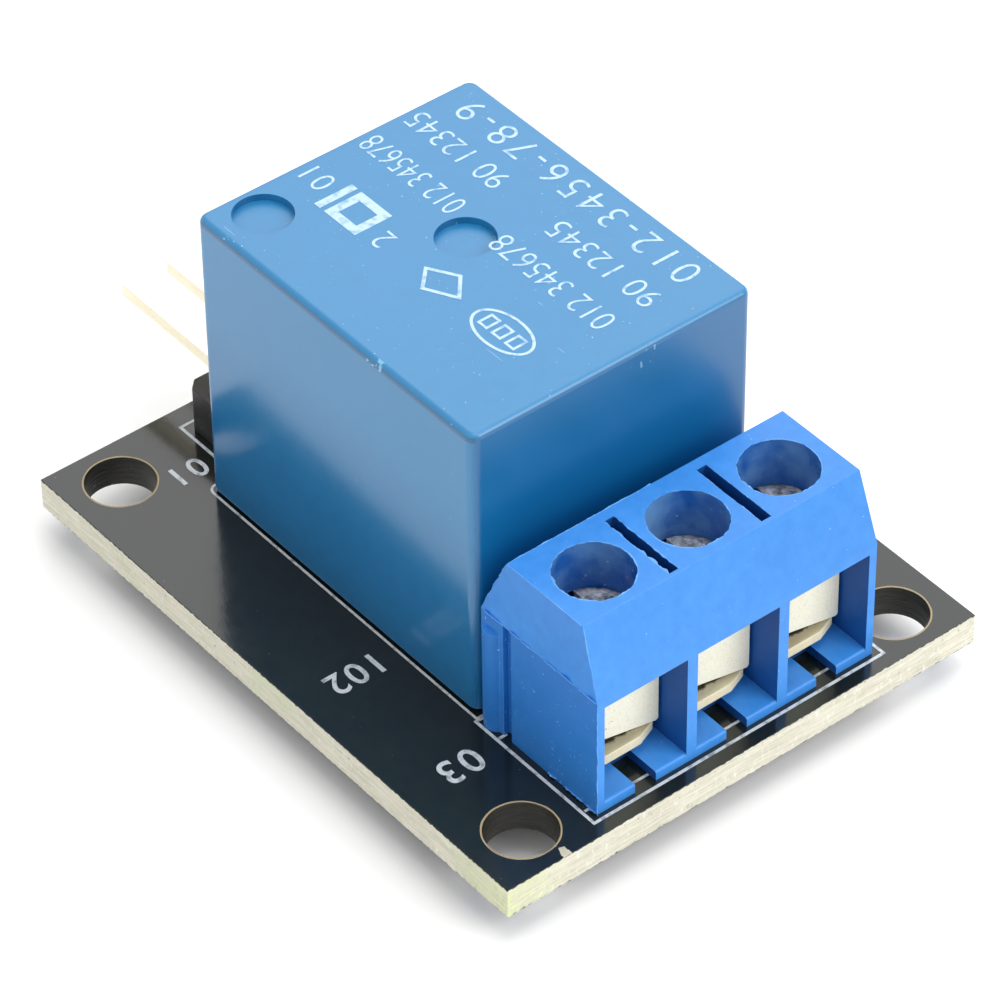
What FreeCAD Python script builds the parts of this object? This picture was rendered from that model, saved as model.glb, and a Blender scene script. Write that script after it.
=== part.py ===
import FreeCAD, Part
import os
import re

import Sketcher

# A single-channel relay module: a circuit board with a sugar-cube relay, a three-way screw
# terminal block, a three-pin header with bent pins and the small driver parts behind the relay.
# The origin is the centre of the four mounting holes, on the underside of the board.
# +X points to the screw terminals, +Y to the driver parts, +Z up from the component side.

# Driving sizes, in millimetres and degrees

SIZES = [
    ("board_margin_y", 5.55, "relay case to the board's long edges"),
    ("board_thickness", 1.6, "laminate"),
    ("hole_inset_x", 2.4, "mounting holes from the board's ends"),
    ("hole_inset_y", 2.7, "mounting holes from the board's sides"),
    ("hole_diameter", 3.3, "mounting holes for 3 mm screws"),
    ("lead_gap", 0.15, "room round a lead in its board hole"),
    ("lead_tail", 1.5, "trimmed lead below the board"),
    ("solder_height", 1.15, "solder cone below the board"),
    ("solder_foot_radius", 1.0, "solder cone at the board"),
    ("solder_tip_radius", 0.62, "solder cone at its tip"),
    ("header_inset", 1.25, "board edge to header block"),
    ("header_offset_y", -1.99, "middle pin from the board's middle"),
    ("header_gap", 1.65, "header block to relay case"),
    ("header_width", 2.5, "header block along X"),
    ("header_height", 2.5, "header block along Z"),
    ("header_notch", 0.45, "corner cut between two places of the block"),
    ("pin_pitch", 2.54, "header pins"),
    ("pin_side", 0.64, "square header pin"),
    ("pin_rise", 1.1, "bent pin's centre line above the block"),
    ("pin_reach", 5.0, "pin tip beyond the board's edge"),
    ("pin_bend", 0.35, "inner radius of the pin's bend"),
    ("pin_point", 0.18, "chamfer of the pin's tip"),
    ("relay_gap", 0.2, "relay to terminal block"),
    ("relay_length", 19.0, "case along X"),
    ("relay_width", 15.2, "case along Y"),
    ("relay_height", 15.5, "case along Z"),
    ("relay_seat", 0.25, "case rim above the board"),
    ("case_wall", 0.8, "side wall"),
    ("case_roof", 0.9, "top wall"),
    ("case_round", 0.5, "upright outer edges"),
    ("case_top_round", 0.3, "outer edges of the roof"),
    ("dimple_radius", 1.38, "round marks on the case"),
    ("dimple_depth", 0.35, "round marks on the case"),
    ("dimple_corner_x", 1.81, "corner mark from the case's rear face"),
    ("dimple_corner_y", 2.3, "corner mark from the case's near face"),
    ("dimple_middle_x", 0.9, "middle mark behind the case's centre"),
    ("dimple_middle_y", 0.4, "middle mark beyond the case's centre"),
    ("base_gap", 0.1, "base to case wall"),
    ("base_recess", 0.3, "base above the case's rim"),
    ("base_thickness", 1.5, "base plate"),
    ("base_foot_side", 1.2, "square stand-off under the base"),
    ("base_foot_inset_x", 1.0, "stand-off from the base's end"),
    ("base_foot_inset_y", 2.6, "stand-off from the base's side"),
    ("common_pin_setback", 1.85, "common pin from the case's rear face"),
    ("coil_pin_step", 2.0, "coil pins in front of the common pin"),
    ("contact_pin_step", 0.6, "contact pins in front of the contacts"),
    ("relay_pin_inset", 1.6, "coil and contact pins from the case's sides"),
    ("coil_pin_side", 0.6, "square coil pin"),
    ("coil_pin_rise", 0.75, "coil pin above the bobbin's lower flange"),
    ("contact_pin_width", 1.0, "contact and common pins"),
    ("contact_sheet", 0.35, "contact and common strip"),
    ("yoke_thickness", 1.2, "iron yoke"),
    ("yoke_width", 9.0, "iron yoke along Y"),
    ("yoke_setback", 1.15, "yoke's rear face from the case's rear face"),
    ("yoke_bend", 0.4, "outer radius of the yoke's bend"),
    ("flange_radius", 4.7, "bobbin flange"),
    ("flange_thickness", 0.8, "bobbin flange"),
    ("flange_gap", 0.25, "bobbin flange to yoke"),
    ("ear_gap", 0.2, "bobbin's ears to the case wall"),
    ("hub_radius", 2.3, "bobbin hub"),
    ("winding_radius", 4.3, "copper winding"),
    ("winding_height", 6.5, "copper winding"),
    ("core_radius", 1.75, "iron core"),
    ("pole_radius", 3.2, "head of the core"),
    ("pole_thickness", 0.7, "head of the core"),
    ("part_gap", 0.05, "room between fitted parts of the relay"),
    ("armature_gap", 0.45, "armature above the pole when released"),
    ("armature_thickness", 1.1, "iron armature"),
    ("armature_width", 8.4, "iron armature along Y"),
    ("armature_front", 3.6, "armature in front of the core's axis"),
    ("armature_tail", 1.1, "armature behind its pivot"),
    ("rivet_side", 0.9, "square rivet pips of the armature"),
    ("rivet_height", 0.35, "rivet pips of the armature"),
    ("rivet_half", 1.1, "rivet pips from the middle"),
    ("leaf_thickness", 0.2, "contact spring"),
    ("leaf_width", 4.0, "contact spring at the yoke"),
    ("leaf_tip_width", 2.4, "contact spring at its tip"),
    ("leaf_tail", 6.5, "contact spring down the back of the yoke"),
    ("leaf_tip", 1.1, "contact spring in front of its contact"),
    ("contact_setback", 3.55, "contacts from the case's front face"),
    ("contact_radius", 0.9, "contact buttons"),
    ("contact_button", 0.3, "thickness of a contact button"),
    ("contact_shank", 0.5, "shank radius of the moving contact"),
    ("closed_gap", 0.02, "moving contact to the contact that it rests on"),
    ("open_gap", 0.7, "moving contact to the open contact"),
    ("contact_strip_width", 2.0, "fixed contact strip along X"),
    ("contact_strip_reach", 0.95, "fixed contact strip past the middle"),
    ("strip_bend", 0.5, "outer radius of the strip's bend"),
    ("terminal_inset", 1.05, "board edge to terminal block"),
    ("terminal_offset_y", 0.3, "middle screw from the board's middle"),
    ("terminal_depth", 7.65, "terminal block along X"),
    ("terminal_pitch", 5.08, "screw to screw"),
    ("terminal_end", 2.66, "outer screw to the block's end"),
    ("terminal_height", 9.94, "terminal block"),
    ("terminal_shoulder", 6.45, "where the slopes begin, above the board"),
    ("terminal_front_slope", 1.13, "front slope along X"),
    ("terminal_back_slope", 1.58, "back slope along X"),
    ("terminal_end_slope", 0.15, "end face draft above the shoulder"),
    ("screw_setback", 3.42, "screw axis from the block's front"),
    ("bore_radius", 1.83, "screwdriver bore"),
    ("entry_width", 4.52, "wire entry"),
    ("entry_top", 6.0, "top of the wire entry above the board"),
    ("chamber_top", 7.35, "roof of the clamp chamber above the board"),
    ("chamber_front", 1.45, "chamber from the block's front, above the entry"),
    ("chamber_back", 2.0, "chamber's rear wall from the block's back"),
    ("floor_height", 0.5, "chamber floor above the board"),
    ("foot_round", 0.12, "upper front edge of the feet"),
    ("foot_slot_width", 1.15, "slot between two feet"),
    ("foot_slot_length", 1.95, "slot between two feet"),
    ("slot_width", 0.58, "slot between two screws"),
    ("slot_length", 4.2, "slot between two screws"),
    ("slot_depth", 3.2, "slot between two screws"),
    ("slot_setback", 1.32, "slot's front end from the block's front"),
    ("rib_radius", 0.64, "vertical rib on the end face"),
    ("rib_proud", 0.3, "rib beyond the end face"),
    ("rib_height", 5.6, "rib above the board"),
    ("groove_width", 0.54, "vertical groove beside the rib"),
    ("groove_depth", 0.3, "vertical groove beside the rib"),
    ("frame_width", 4.0, "clamp frame along Y"),
    ("frame_depth", 2.4, "clamp frame along X"),
    ("frame_wall", 0.7, "clamp frame's sides"),
    ("frame_floor", 0.8, "clamp frame's lower wall"),
    ("frame_roof", 1.4, "clamp frame's threaded wall"),
    ("frame_height", 5.5, "clamp frame along Z"),
    ("frame_round", 0.5, "clamp frame's outer corners"),
    ("tongue_reach", 0.77, "tapered tongue in front of the frame"),
    ("tongue_taper", 0.4, "tapered part of the tongue"),
    ("tongue_root", 3.9, "tongue's width at the frame"),
    ("tongue_tip", 1.9, "tongue's width at its tip"),
    ("tongue_sheet", 0.5, "tongue's thickness"),
    ("terminal_pin_x", 0.8, "terminal pin along X"),
    ("terminal_pin_y", 1.0, "terminal pin along Y"),
    ("guard_gap", 0.05, "wire guard above the frame's floor when closed"),
    ("guard_sheet", 0.4, "wire guard's sheet"),
    ("guard_width", 4.28, "wire guard's front plate"),
    ("guard_height", 3.15, "wire guard's front plate"),
    ("guard_lean", 0.95, "rise of the front plate's lower edge across its width"),
    ("guard_foot_rise", 0.6, "wire guard's foot above the plate's lowest corner"),
    ("guard_side_gap", 0.1, "wire guard to the frame"),
    ("guard_bend", 0.25, "inner radius of the wire guard's bend"),
    ("guard_round", 0.15, "lowest corner of the front plate"),
    ("screw_radius", 1.22, "terminal screw's thread"),
    ("thread_gap", 0.06, "room round the thread"),
    ("head_radius", 1.68, "terminal screw's head"),
    ("head_thickness", 1.0, "terminal screw's head"),
    ("head_round", 0.2, "edge of the head"),
    ("head_lift", 0.3, "head above the clamp frame when closed"),
    ("head_slot_width", 0.6, "screwdriver slot"),
    ("head_slot_depth", 0.5, "screwdriver slot"),
    ("driver_inset", 2.55, "row of driver parts from the board's far edge"),
    ("driver_row_start", 0.05, "base resistor's middle in front of the relay's rear face"),
    ("transistor_step", 3.6, "transistor in front of the base resistor"),
    ("diode_step", 6.0, "diode in front of the transistor"),
    ("lamp_resistor_step", 5.0, "lamp's resistor in front of the diode"),
    ("lamp_step", 3.5, "indicator lamp in front of its resistor"),
    ("chip_length", 2.0, "resistors and lamp"),
    ("chip_width", 1.25, "resistors and lamp"),
    ("chip_height", 0.55, "resistors"),
    ("chip_cap", 0.4, "end caps of the resistors and lamp"),
    ("chip_step", 0.04, "end caps above the chip's body"),
    ("lamp_base", 0.4, "indicator lamp without its dome"),
    ("lamp_dome", 0.4, "dome of the indicator lamp"),
    ("transistor_length", 2.9, "transistor body"),
    ("transistor_width", 1.3, "transistor body"),
    ("transistor_height", 1.0, "transistor body"),
    ("transistor_lift", 0.1, "transistor body above the board"),
    ("transistor_bevel", 0.15, "upper edges of the transistor"),
    ("transistor_pitch", 1.9, "outer leads of the transistor"),
    ("transistor_lead_width", 0.4, "leads of the transistor"),
    ("transistor_lead_sheet", 0.15, "leads of the transistor"),
    ("transistor_lead_rise", 0.5, "where the leads leave the body, above the board"),
    ("transistor_lead_reach", 0.6, "leads beyond the body"),
    ("diode_length", 4.6, "diode body at its seam"),
    ("diode_width", 2.6, "diode body"),
    ("diode_height", 2.1, "diode body"),
    ("diode_lift", 0.1, "diode body above the board"),
    ("diode_draft", 0.15, "draft of the diode's ends"),
    ("diode_lead_width", 1.5, "leads of the diode"),
    ("diode_lead_sheet", 0.2, "leads of the diode"),
    ("diode_lead_foot", 1.1, "diode leads under the body"),
]

doc = FreeCAD.newDocument("RelayModule")
sheet = doc.addObject("Spreadsheet::Sheet", "Sizes")
for row, (alias, value, note) in enumerate(SIZES, start=1):
    sheet.set(f"A{row}", alias)
    sheet.set(f"B{row}", str(value))
    sheet.setAlias(f"B{row}", alias)
    sheet.set(f"C{row}", note)
doc.recompute()

NAMES = {alias for alias, value, note in SIZES}


def bound(text):
    """Turns the size names in an expression into references to the sheet."""
    return re.sub(r"[a-z][a-z_]*", lambda word: ("Sizes." if word[0] in NAMES else "") + word[0], str(text))


def size(text):
    """The present value of an expression."""
    return float(sheet.evalExpression(bound(text)))


# Levels and places that several pieces share

# From the rear edge to the front edge the board holds the header, the relay and the terminal block
BOARD_LENGTH = (
    "(header_inset + header_width + header_gap + relay_length"
    " + relay_gap + terminal_depth + terminal_inset)"
)
BOARD_WIDTH = "(relay_width + 2 * board_margin_y)"
HOLE_X = f"({BOARD_LENGTH} / 2 - hole_inset_x)"
HOLE_Y = f"({BOARD_WIDTH} / 2 - hole_inset_y)"
BOARD_TOP = "board_thickness"
LEAD_END = "(-lead_tail)"
TERMINAL_FRONT = f"({BOARD_LENGTH} / 2 - terminal_inset)"
TERMINAL_BACK = f"({TERMINAL_FRONT} - terminal_depth)"
SCREW_X = f"({TERMINAL_FRONT} - screw_setback)"
SCREW_Y = [f"(terminal_offset_y + {step} * terminal_pitch)" for step in (-1, 0, 1)]
RELAY_FRONT = f"({TERMINAL_BACK} - relay_gap)"
RELAY_BACK = f"({RELAY_FRONT} - relay_length)"
RELAY_X = f"({RELAY_FRONT} - relay_length / 2)"
RELAY_FOOT = "(board_thickness + relay_seat)"
RELAY_TOP = f"({RELAY_FOOT} + relay_height)"
BASE_BOTTOM = f"({RELAY_FOOT} + base_recess)"
BASE_TOP = f"({BASE_BOTTOM} + base_thickness)"
RELAY_PIN_Y = "(relay_width / 2 - relay_pin_inset)"
EAR_Y = "(relay_width / 2 - case_wall - ear_gap)"
COMMON_X = f"({RELAY_BACK} + common_pin_setback)"
COIL_PIN_X = f"({COMMON_X} + coil_pin_step)"
CONTACT_X = f"({RELAY_FRONT} - contact_setback)"
CONTACT_PIN_X = f"({CONTACT_X} + contact_pin_step)"
YOKE_BACK = f"({RELAY_BACK} + yoke_setback)"
YOKE_FACE = f"({YOKE_BACK} + yoke_thickness)"
COIL_X = f"({YOKE_FACE} + flange_gap + flange_radius)"
FOOT_TOP = f"({BASE_TOP} + yoke_thickness)"
FLANGE_TOP = f"({FOOT_TOP} + flange_thickness)"
WINDING_TOP = f"({FLANGE_TOP} + winding_height)"
BOBBIN_TOP = f"({WINDING_TOP} + flange_thickness)"
POLE_TOP = f"({BOBBIN_TOP} + pole_thickness)"
ARMATURE_BOTTOM = f"({POLE_TOP} + armature_gap)"
ARMATURE_TOP = f"({ARMATURE_BOTTOM} + armature_thickness)"
LEAF_TOP = f"({ARMATURE_TOP} + leaf_thickness)"
HEADER_X = f"({RELAY_BACK} - header_gap - header_width / 2)"
HEADER_Y = [f"(header_offset_y + {step} * pin_pitch)" for step in (-1, 0, 1)]
HEADER_TOP = "(board_thickness + header_height)"
FRAME_BOTTOM = "(board_thickness + floor_height)"
FRAME_TOP = f"({FRAME_BOTTOM} + frame_height)"
FRAME_BACK = f"({SCREW_X} - frame_depth / 2)"
FRAME_FRONT = f"({SCREW_X} + frame_depth / 2)"
GUARD_BOTTOM = f"({FRAME_BOTTOM} + frame_floor + guard_gap)"
GUARD_FOOT = f"({GUARD_BOTTOM} + guard_foot_rise)"
GUARD_BACK = f"({FRAME_FRONT} + guard_side_gap)"
GUARD_FRONT = f"({GUARD_BACK} + guard_sheet)"
SCREW_TIP = f"({GUARD_FOOT} + guard_sheet + part_gap)"
HEAD_BOTTOM = f"({FRAME_TOP} + head_lift)"
HEAD_TOP = f"({HEAD_BOTTOM} + head_thickness)"

# Leads that pass through the board: x, y, size along X, size along Y
HEADER_LEADS = [(HEADER_X, y, "pin_side", "pin_side") for y in HEADER_Y]
TERMINAL_LEADS = [(SCREW_X, y, "terminal_pin_x", "terminal_pin_y") for y in SCREW_Y]
PIN_SIDES = [f"-{RELAY_PIN_Y}", RELAY_PIN_Y]
COIL_LEADS = [(COIL_PIN_X, y, "coil_pin_side", "coil_pin_side") for y in PIN_SIDES]
CONTACT_LEADS = [(CONTACT_PIN_X, y, "contact_pin_width", "contact_sheet") for y in PIN_SIDES]
COMMON_LEADS = [(COMMON_X, "0", "contact_sheet", "contact_pin_width")]
RELAY_LEADS = COIL_LEADS + CONTACT_LEADS + COMMON_LEADS


# Drawing and shaping

def new_body(label):
    body = doc.addObject("PartDesign::Body", label)
    body.Label = label
    return body


def new_sketch(body, plane, level="0", shift_x="0"):
    """A sketch on one of the body's own planes, moved to a level along that plane's axis."""
    sketch = body.newObject("Sketcher::SketchObject", body.Name + "_sketch")
    support = [face for face in body.Origin.OriginFeatures if face.Role == plane + "_Plane"][0]
    sketch.AttachmentSupport = [(support, "")]
    sketch.MapMode = "FlatFace"
    sign = "-1" if plane == "XZ" else "1"
    sketch.setExpression(".AttachmentOffset.Base.z", bound(f"{sign} * ({level})"))
    sketch.setExpression(".AttachmentOffset.Base.x", bound(shift_x))
    return sketch


def fix_point(sketch, geometry, end, x, y):
    """Ties a point of the sketch to two expressions."""
    for kind, text in (("DistanceX", x), ("DistanceY", y)):
        index = sketch.addConstraint(Sketcher.Constraint(kind, geometry, end, size(text)))
        sketch.setExpression(f"Constraints[{index}]", bound(text))


def draw_outline(sketch, corners):
    """A closed outline of straight sides through corners given as pairs of expressions."""
    first = sketch.GeometryCount
    places = [FreeCAD.Vector(size(x), size(y), 0) for x, y in corners]
    for start, end in zip(places, places[1:] + places[:1]):
        sketch.addGeometry(Part.LineSegment(start, end))
    for i, (x, y) in enumerate(corners):
        after = first + (i + 1) % len(corners)
        sketch.addConstraint(Sketcher.Constraint("Coincident", first + i, 2, after, 1))
        fix_point(sketch, first + i, 1, x, y)


def draw_rectangle(sketch, low_x, low_y, high_x, high_y):
    draw_outline(sketch, [(low_x, low_y), (high_x, low_y), (high_x, high_y), (low_x, high_y)])


def draw_block(sketch, x, y, wide, deep, room="0"):
    """A rectangle about a centre, with room added on every side."""
    half_x = f"(({wide}) / 2 + ({room}))"
    half_y = f"(({deep}) / 2 + ({room}))"
    draw_rectangle(sketch, f"{x} - {half_x}", f"{y} - {half_y}", f"{x} + {half_x}", f"{y} + {half_y}")


def draw_circle(sketch, x, y, radius):
    centre = FreeCAD.Vector(size(x), size(y), 0)
    circle = sketch.addGeometry(Part.Circle(centre, FreeCAD.Vector(0, 0, 1), size(radius)))
    fix_point(sketch, circle, 3, x, y)
    index = sketch.addConstraint(Sketcher.Constraint("Radius", circle, size(radius)))
    sketch.setExpression(f"Constraints[{index}]", bound(radius))


def pad(body, sketch, length, reverse=False):
    feature = body.newObject("PartDesign::Pad", body.Name + "_pad")
    feature.Profile = sketch
    feature.setExpression("Length", bound(length))
    feature.Reversed = reverse
    doc.recompute()
    return feature


def pocket(body, sketch, length, reverse=False):
    """A cut that must take something away."""
    before = body.Shape.Volume
    feature = body.newObject("PartDesign::Pocket", body.Name + "_pocket")
    feature.Profile = sketch
    feature.setExpression("Length", bound(length))
    feature.Reversed = reverse
    doc.recompute()
    if body.Shape.Volume > before - 1e-6:
        raise RuntimeError(f"{feature.Name}: a pocket takes nothing away")
    return feature


def revolve(body, sketch):
    """A full turn about the sketch's own upright axis."""
    feature = body.newObject("PartDesign::Revolution", body.Name + "_revolution")
    feature.Profile = sketch
    feature.ReferenceAxis = (sketch, ["V_Axis"])
    feature.Angle = 360
    doc.recompute()
    return feature


def dress(body, kind, radius, chosen):
    """A fillet or chamfer on the edges of the body that a test picks out."""
    names = [f"Edge{i}" for i, edge in enumerate(body.Shape.Edges, start=1) if chosen(edge)]
    if not names:
        raise RuntimeError(f"{body.Label}: no edge to dress")
    base = body.Tip
    feature = body.newObject("PartDesign::" + kind, body.Name + "_" + kind.lower())
    feature.Base = (base, names)
    feature.setExpression("Radius" if kind == "Fillet" else "Size", bound(radius))
    doc.recompute()
    return feature


def runs_along(edge, axis):
    """Whether an edge is straight and parallel to an axis."""
    if edge.Curve.TypeId != "Part::GeomLine":
        return False
    return abs(abs(edge.Curve.Direction.dot(axis)) - 1) < 1e-6


def lies_at(edge, **places):
    """Whether an edge's middle lies at the given coordinates."""
    middle = edge.BoundBox.Center
    return all(abs(getattr(middle, name) - value) < 1e-4 for name, value in places.items())


X_AXIS = FreeCAD.Vector(1, 0, 0)
Y_AXIS = FreeCAD.Vector(0, 1, 0)
Z_AXIS = FreeCAD.Vector(0, 0, 1)
ZERO = "0"

# Circuit board: a bare laminate panel with four mounting holes and a hole for each lead

board = new_body("circuit_board")
sketch = new_sketch(board, "XY")
draw_block(sketch, ZERO, ZERO, BOARD_LENGTH, BOARD_WIDTH)
pad(board, sketch, "board_thickness")
sketch = new_sketch(board, "XY", BOARD_TOP)
for side_x in ("-", ""):
    for side_y in ("-", ""):
        draw_circle(sketch, f"{side_x}{HOLE_X}", f"{side_y}{HOLE_Y}", "hole_diameter / 2")
pocket(board, sketch, "board_thickness")
sketch = new_sketch(board, "XY", BOARD_TOP)
for x, y, wide, deep in HEADER_LEADS + TERMINAL_LEADS + RELAY_LEADS:
    draw_circle(sketch, x, y, f"sqrt(({wide}) ^ 2 + ({deep}) ^ 2) / 2 + lead_gap")
pocket(board, sketch, "board_thickness")

# Relay case: a moulded cover, open below, with two round marks in its roof

case = new_body("relay_case")
sketch = new_sketch(case, "XY", RELAY_FOOT)
draw_block(sketch, RELAY_X, ZERO, "relay_length", "relay_width")
pad(case, sketch, "relay_height")
dress(case, "Fillet", "case_round", lambda edge: runs_along(edge, Z_AXIS))
dress(case, "Fillet", "case_top_round", lambda edge: lies_at(edge, z=size(RELAY_TOP)))
sketch = new_sketch(case, "XY", RELAY_FOOT)
draw_block(sketch, RELAY_X, ZERO, "relay_length", "relay_width", "-case_wall")
pocket(case, sketch, "relay_height - case_roof", reverse=True)
sketch = new_sketch(case, "XY", RELAY_TOP)
draw_circle(sketch, f"{RELAY_BACK} + dimple_corner_x", "-relay_width / 2 + dimple_corner_y", "dimple_radius")
draw_circle(sketch, f"{RELAY_X} - dimple_middle_x", "dimple_middle_y", "dimple_radius")
pocket(case, sketch, "dimple_depth")

# Relay base: the plate that closes the case, with five lead holes and four stand-offs

BASE_HALF_X = "(relay_length / 2 - case_wall - base_gap)"
BASE_HALF_Y = "(relay_width / 2 - case_wall - base_gap)"
base = new_body("relay_base")
sketch = new_sketch(base, "XY", BASE_BOTTOM)
draw_block(sketch, RELAY_X, ZERO, f"2 * {BASE_HALF_X}", f"2 * {BASE_HALF_Y}")
pad(base, sketch, "base_thickness")
sketch = new_sketch(base, "XY", BOARD_TOP)
for side_x in ("-", "+"):
    for side_y in ("-", ""):
        foot_x = f"{RELAY_X} {side_x} ({BASE_HALF_X} - base_foot_inset_x)"
        foot_y = f"{side_y}({BASE_HALF_Y} - base_foot_inset_y)"
        draw_block(sketch, foot_x, foot_y, "base_foot_side", "base_foot_side")
pad(base, sketch, f"{BASE_BOTTOM} - {BOARD_TOP}")
sketch = new_sketch(base, "XY", BASE_TOP)
for x, y, wide, deep in RELAY_LEADS:
    draw_block(sketch, x, y, wide, deep, "part_gap")
pocket(base, sketch, "base_thickness")

# Yoke: a folded iron strip that carries the core and gives the armature its edge to rock on

yoke = new_body("relay_yoke")
sketch = new_sketch(yoke, "XZ", "-yoke_width / 2")
draw_outline(sketch, [
    (YOKE_BACK, BASE_TOP),
    (f"{COIL_X} + pole_radius", BASE_TOP),
    (f"{COIL_X} + pole_radius", FOOT_TOP),
    (YOKE_FACE, FOOT_TOP),
    (YOKE_FACE, f"{ARMATURE_BOTTOM} - part_gap"),
    (YOKE_BACK, f"{ARMATURE_BOTTOM} - part_gap"),
])
pad(yoke, sketch, "yoke_width", reverse=True)
dress(yoke, "Fillet", "yoke_bend", lambda edge: lies_at(edge, x=size(YOKE_BACK), z=size(BASE_TOP)))
sketch = new_sketch(yoke, "XY", FOOT_TOP)
draw_circle(sketch, COIL_X, ZERO, "core_radius + part_gap")
pocket(yoke, sketch, "yoke_thickness")

# Core: a turned iron pin, its lower end riveted in the yoke, its head the pole

core = new_body("coil_core")
sketch = new_sketch(core, "XZ", ZERO, COIL_X)
draw_outline(sketch, [
    (ZERO, BASE_TOP),
    ("core_radius", BASE_TOP),
    ("core_radius", BOBBIN_TOP),
    ("pole_radius", BOBBIN_TOP),
    ("pole_radius", POLE_TOP),
    (ZERO, POLE_TOP),
])
revolve(core, sketch)

# Bobbin: a moulded spool with two ears that hold the coil pins

bobbin = new_body("coil_bobbin")
sketch = new_sketch(bobbin, "XY", FOOT_TOP)
draw_block(sketch, COIL_X, ZERO, "2 * flange_radius", "2 * flange_radius")
pad(bobbin, sketch, "flange_thickness")
sketch = new_sketch(bobbin, "XY", FOOT_TOP)
draw_rectangle(
    sketch,
    f"{COIL_X} - flange_radius",
    f"-{EAR_Y}",
    f"{COIL_PIN_X} + coil_pin_side + 2 * part_gap",
    EAR_Y,
)
pad(bobbin, sketch, "flange_thickness")
sketch = new_sketch(bobbin, "XY", FLANGE_TOP)
draw_circle(sketch, COIL_X, ZERO, "hub_radius")
pad(bobbin, sketch, "winding_height")
sketch = new_sketch(bobbin, "XY", WINDING_TOP)
draw_circle(sketch, COIL_X, ZERO, "flange_radius")
pad(bobbin, sketch, "flange_thickness")
sketch = new_sketch(bobbin, "XY", BOBBIN_TOP)
draw_circle(sketch, COIL_X, ZERO, "core_radius + part_gap")
pocket(bobbin, sketch, f"{BOBBIN_TOP} - {FOOT_TOP}")
sketch = new_sketch(bobbin, "XY", FLANGE_TOP)
for x, y, wide, deep in COIL_LEADS:
    draw_block(sketch, x, y, wide, deep, "part_gap")
pocket(bobbin, sketch, "flange_thickness")

# Winding: the enamelled copper wire, as one wound ring

winding = new_body("coil_winding")
sketch = new_sketch(winding, "XZ", ZERO, COIL_X)
draw_rectangle(sketch, "hub_radius + part_gap", FLANGE_TOP, "winding_radius", WINDING_TOP)
revolve(winding, sketch)

# Coil pins and common pin: straight leads held in the base

for number, (x, y, wide, deep) in enumerate(COIL_LEADS, start=1):
    coil_pin = new_body(f"coil_pin_{number}")
    sketch = new_sketch(coil_pin, "XY", LEAD_END)
    draw_block(sketch, x, y, wide, deep)
    pad(coil_pin, sketch, f"{FLANGE_TOP} + coil_pin_rise - {LEAD_END}")

common_pin = new_body("common_pin")
sketch = new_sketch(common_pin, "XY", LEAD_END)
draw_block(sketch, *COMMON_LEADS[0])
pad(common_pin, sketch, f"{BASE_TOP} - {LEAD_END}")

# Armature: an iron plate that rocks on the yoke's edge, with two pips that rivet the spring

armature = new_body("armature")
sketch = new_sketch(armature, "XY", ARMATURE_BOTTOM)
draw_rectangle(
    sketch,
    f"{YOKE_FACE} - armature_tail",
    "-armature_width / 2",
    f"{COIL_X} + armature_front",
    "armature_width / 2",
)
pad(armature, sketch, "armature_thickness")
dress(armature, "Chamfer", "armature_thickness", lambda edge: runs_along(edge, Z_AXIS))
sketch = new_sketch(armature, "XY", ARMATURE_TOP)
for side in ("-", ""):
    draw_block(sketch, COIL_X, f"{side}rivet_half", "rivet_side", "rivet_side")
pad(armature, sketch, "rivet_height")

# Contact spring: a bent bronze leaf from the back of the yoke to the moving contact

spring = new_body("contact_spring")
sketch = new_sketch(spring, "XY", ARMATURE_TOP)
draw_outline(sketch, [
    (f"{YOKE_BACK} - leaf_thickness", "-leaf_width / 2"),
    (f"{COIL_X} + armature_front", "-leaf_width / 2"),
    (f"{CONTACT_X} + leaf_tip", "-leaf_tip_width / 2"),
    (f"{CONTACT_X} + leaf_tip", "leaf_tip_width / 2"),
    (f"{COIL_X} + armature_front", "leaf_width / 2"),
    (f"{YOKE_BACK} - leaf_thickness", "leaf_width / 2"),
])
pad(spring, sketch, "leaf_thickness")
sketch = new_sketch(spring, "XY", LEAF_TOP)
draw_rectangle(sketch, f"{YOKE_BACK} - leaf_thickness", "-leaf_width / 2", YOKE_BACK, "leaf_width / 2")
pad(spring, sketch, "leaf_tail", reverse=True)
sketch = new_sketch(spring, "XY", LEAF_TOP)
for side in ("-", ""):
    draw_block(sketch, COIL_X, f"{side}rivet_half", "rivet_side", "rivet_side", "part_gap")
draw_circle(sketch, CONTACT_X, ZERO, "contact_shank + part_gap")
pocket(spring, sketch, "leaf_thickness")

# Moving contact: a double-headed rivet at the tip of the spring

moving = new_body("moving_contact")
sketch = new_sketch(moving, "XZ", ZERO, CONTACT_X)
draw_outline(sketch, [
    (ZERO, f"{ARMATURE_TOP} - contact_button"),
    ("contact_radius", f"{ARMATURE_TOP} - contact_button"),
    ("contact_radius", ARMATURE_TOP),
    ("contact_shank", ARMATURE_TOP),
    ("contact_shank", LEAF_TOP),
    ("contact_radius", LEAF_TOP),
    ("contact_radius", f"{LEAF_TOP} + contact_button"),
    (ZERO, f"{LEAF_TOP} + contact_button"),
])
revolve(moving, sketch)

# Fixed contacts: folded strips with a button, one above the moving contact and one below it

CLOSED_FACE = f"({LEAF_TOP} + contact_button + closed_gap)"
OPEN_FACE = f"({ARMATURE_TOP} - contact_button - open_gap)"


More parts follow.
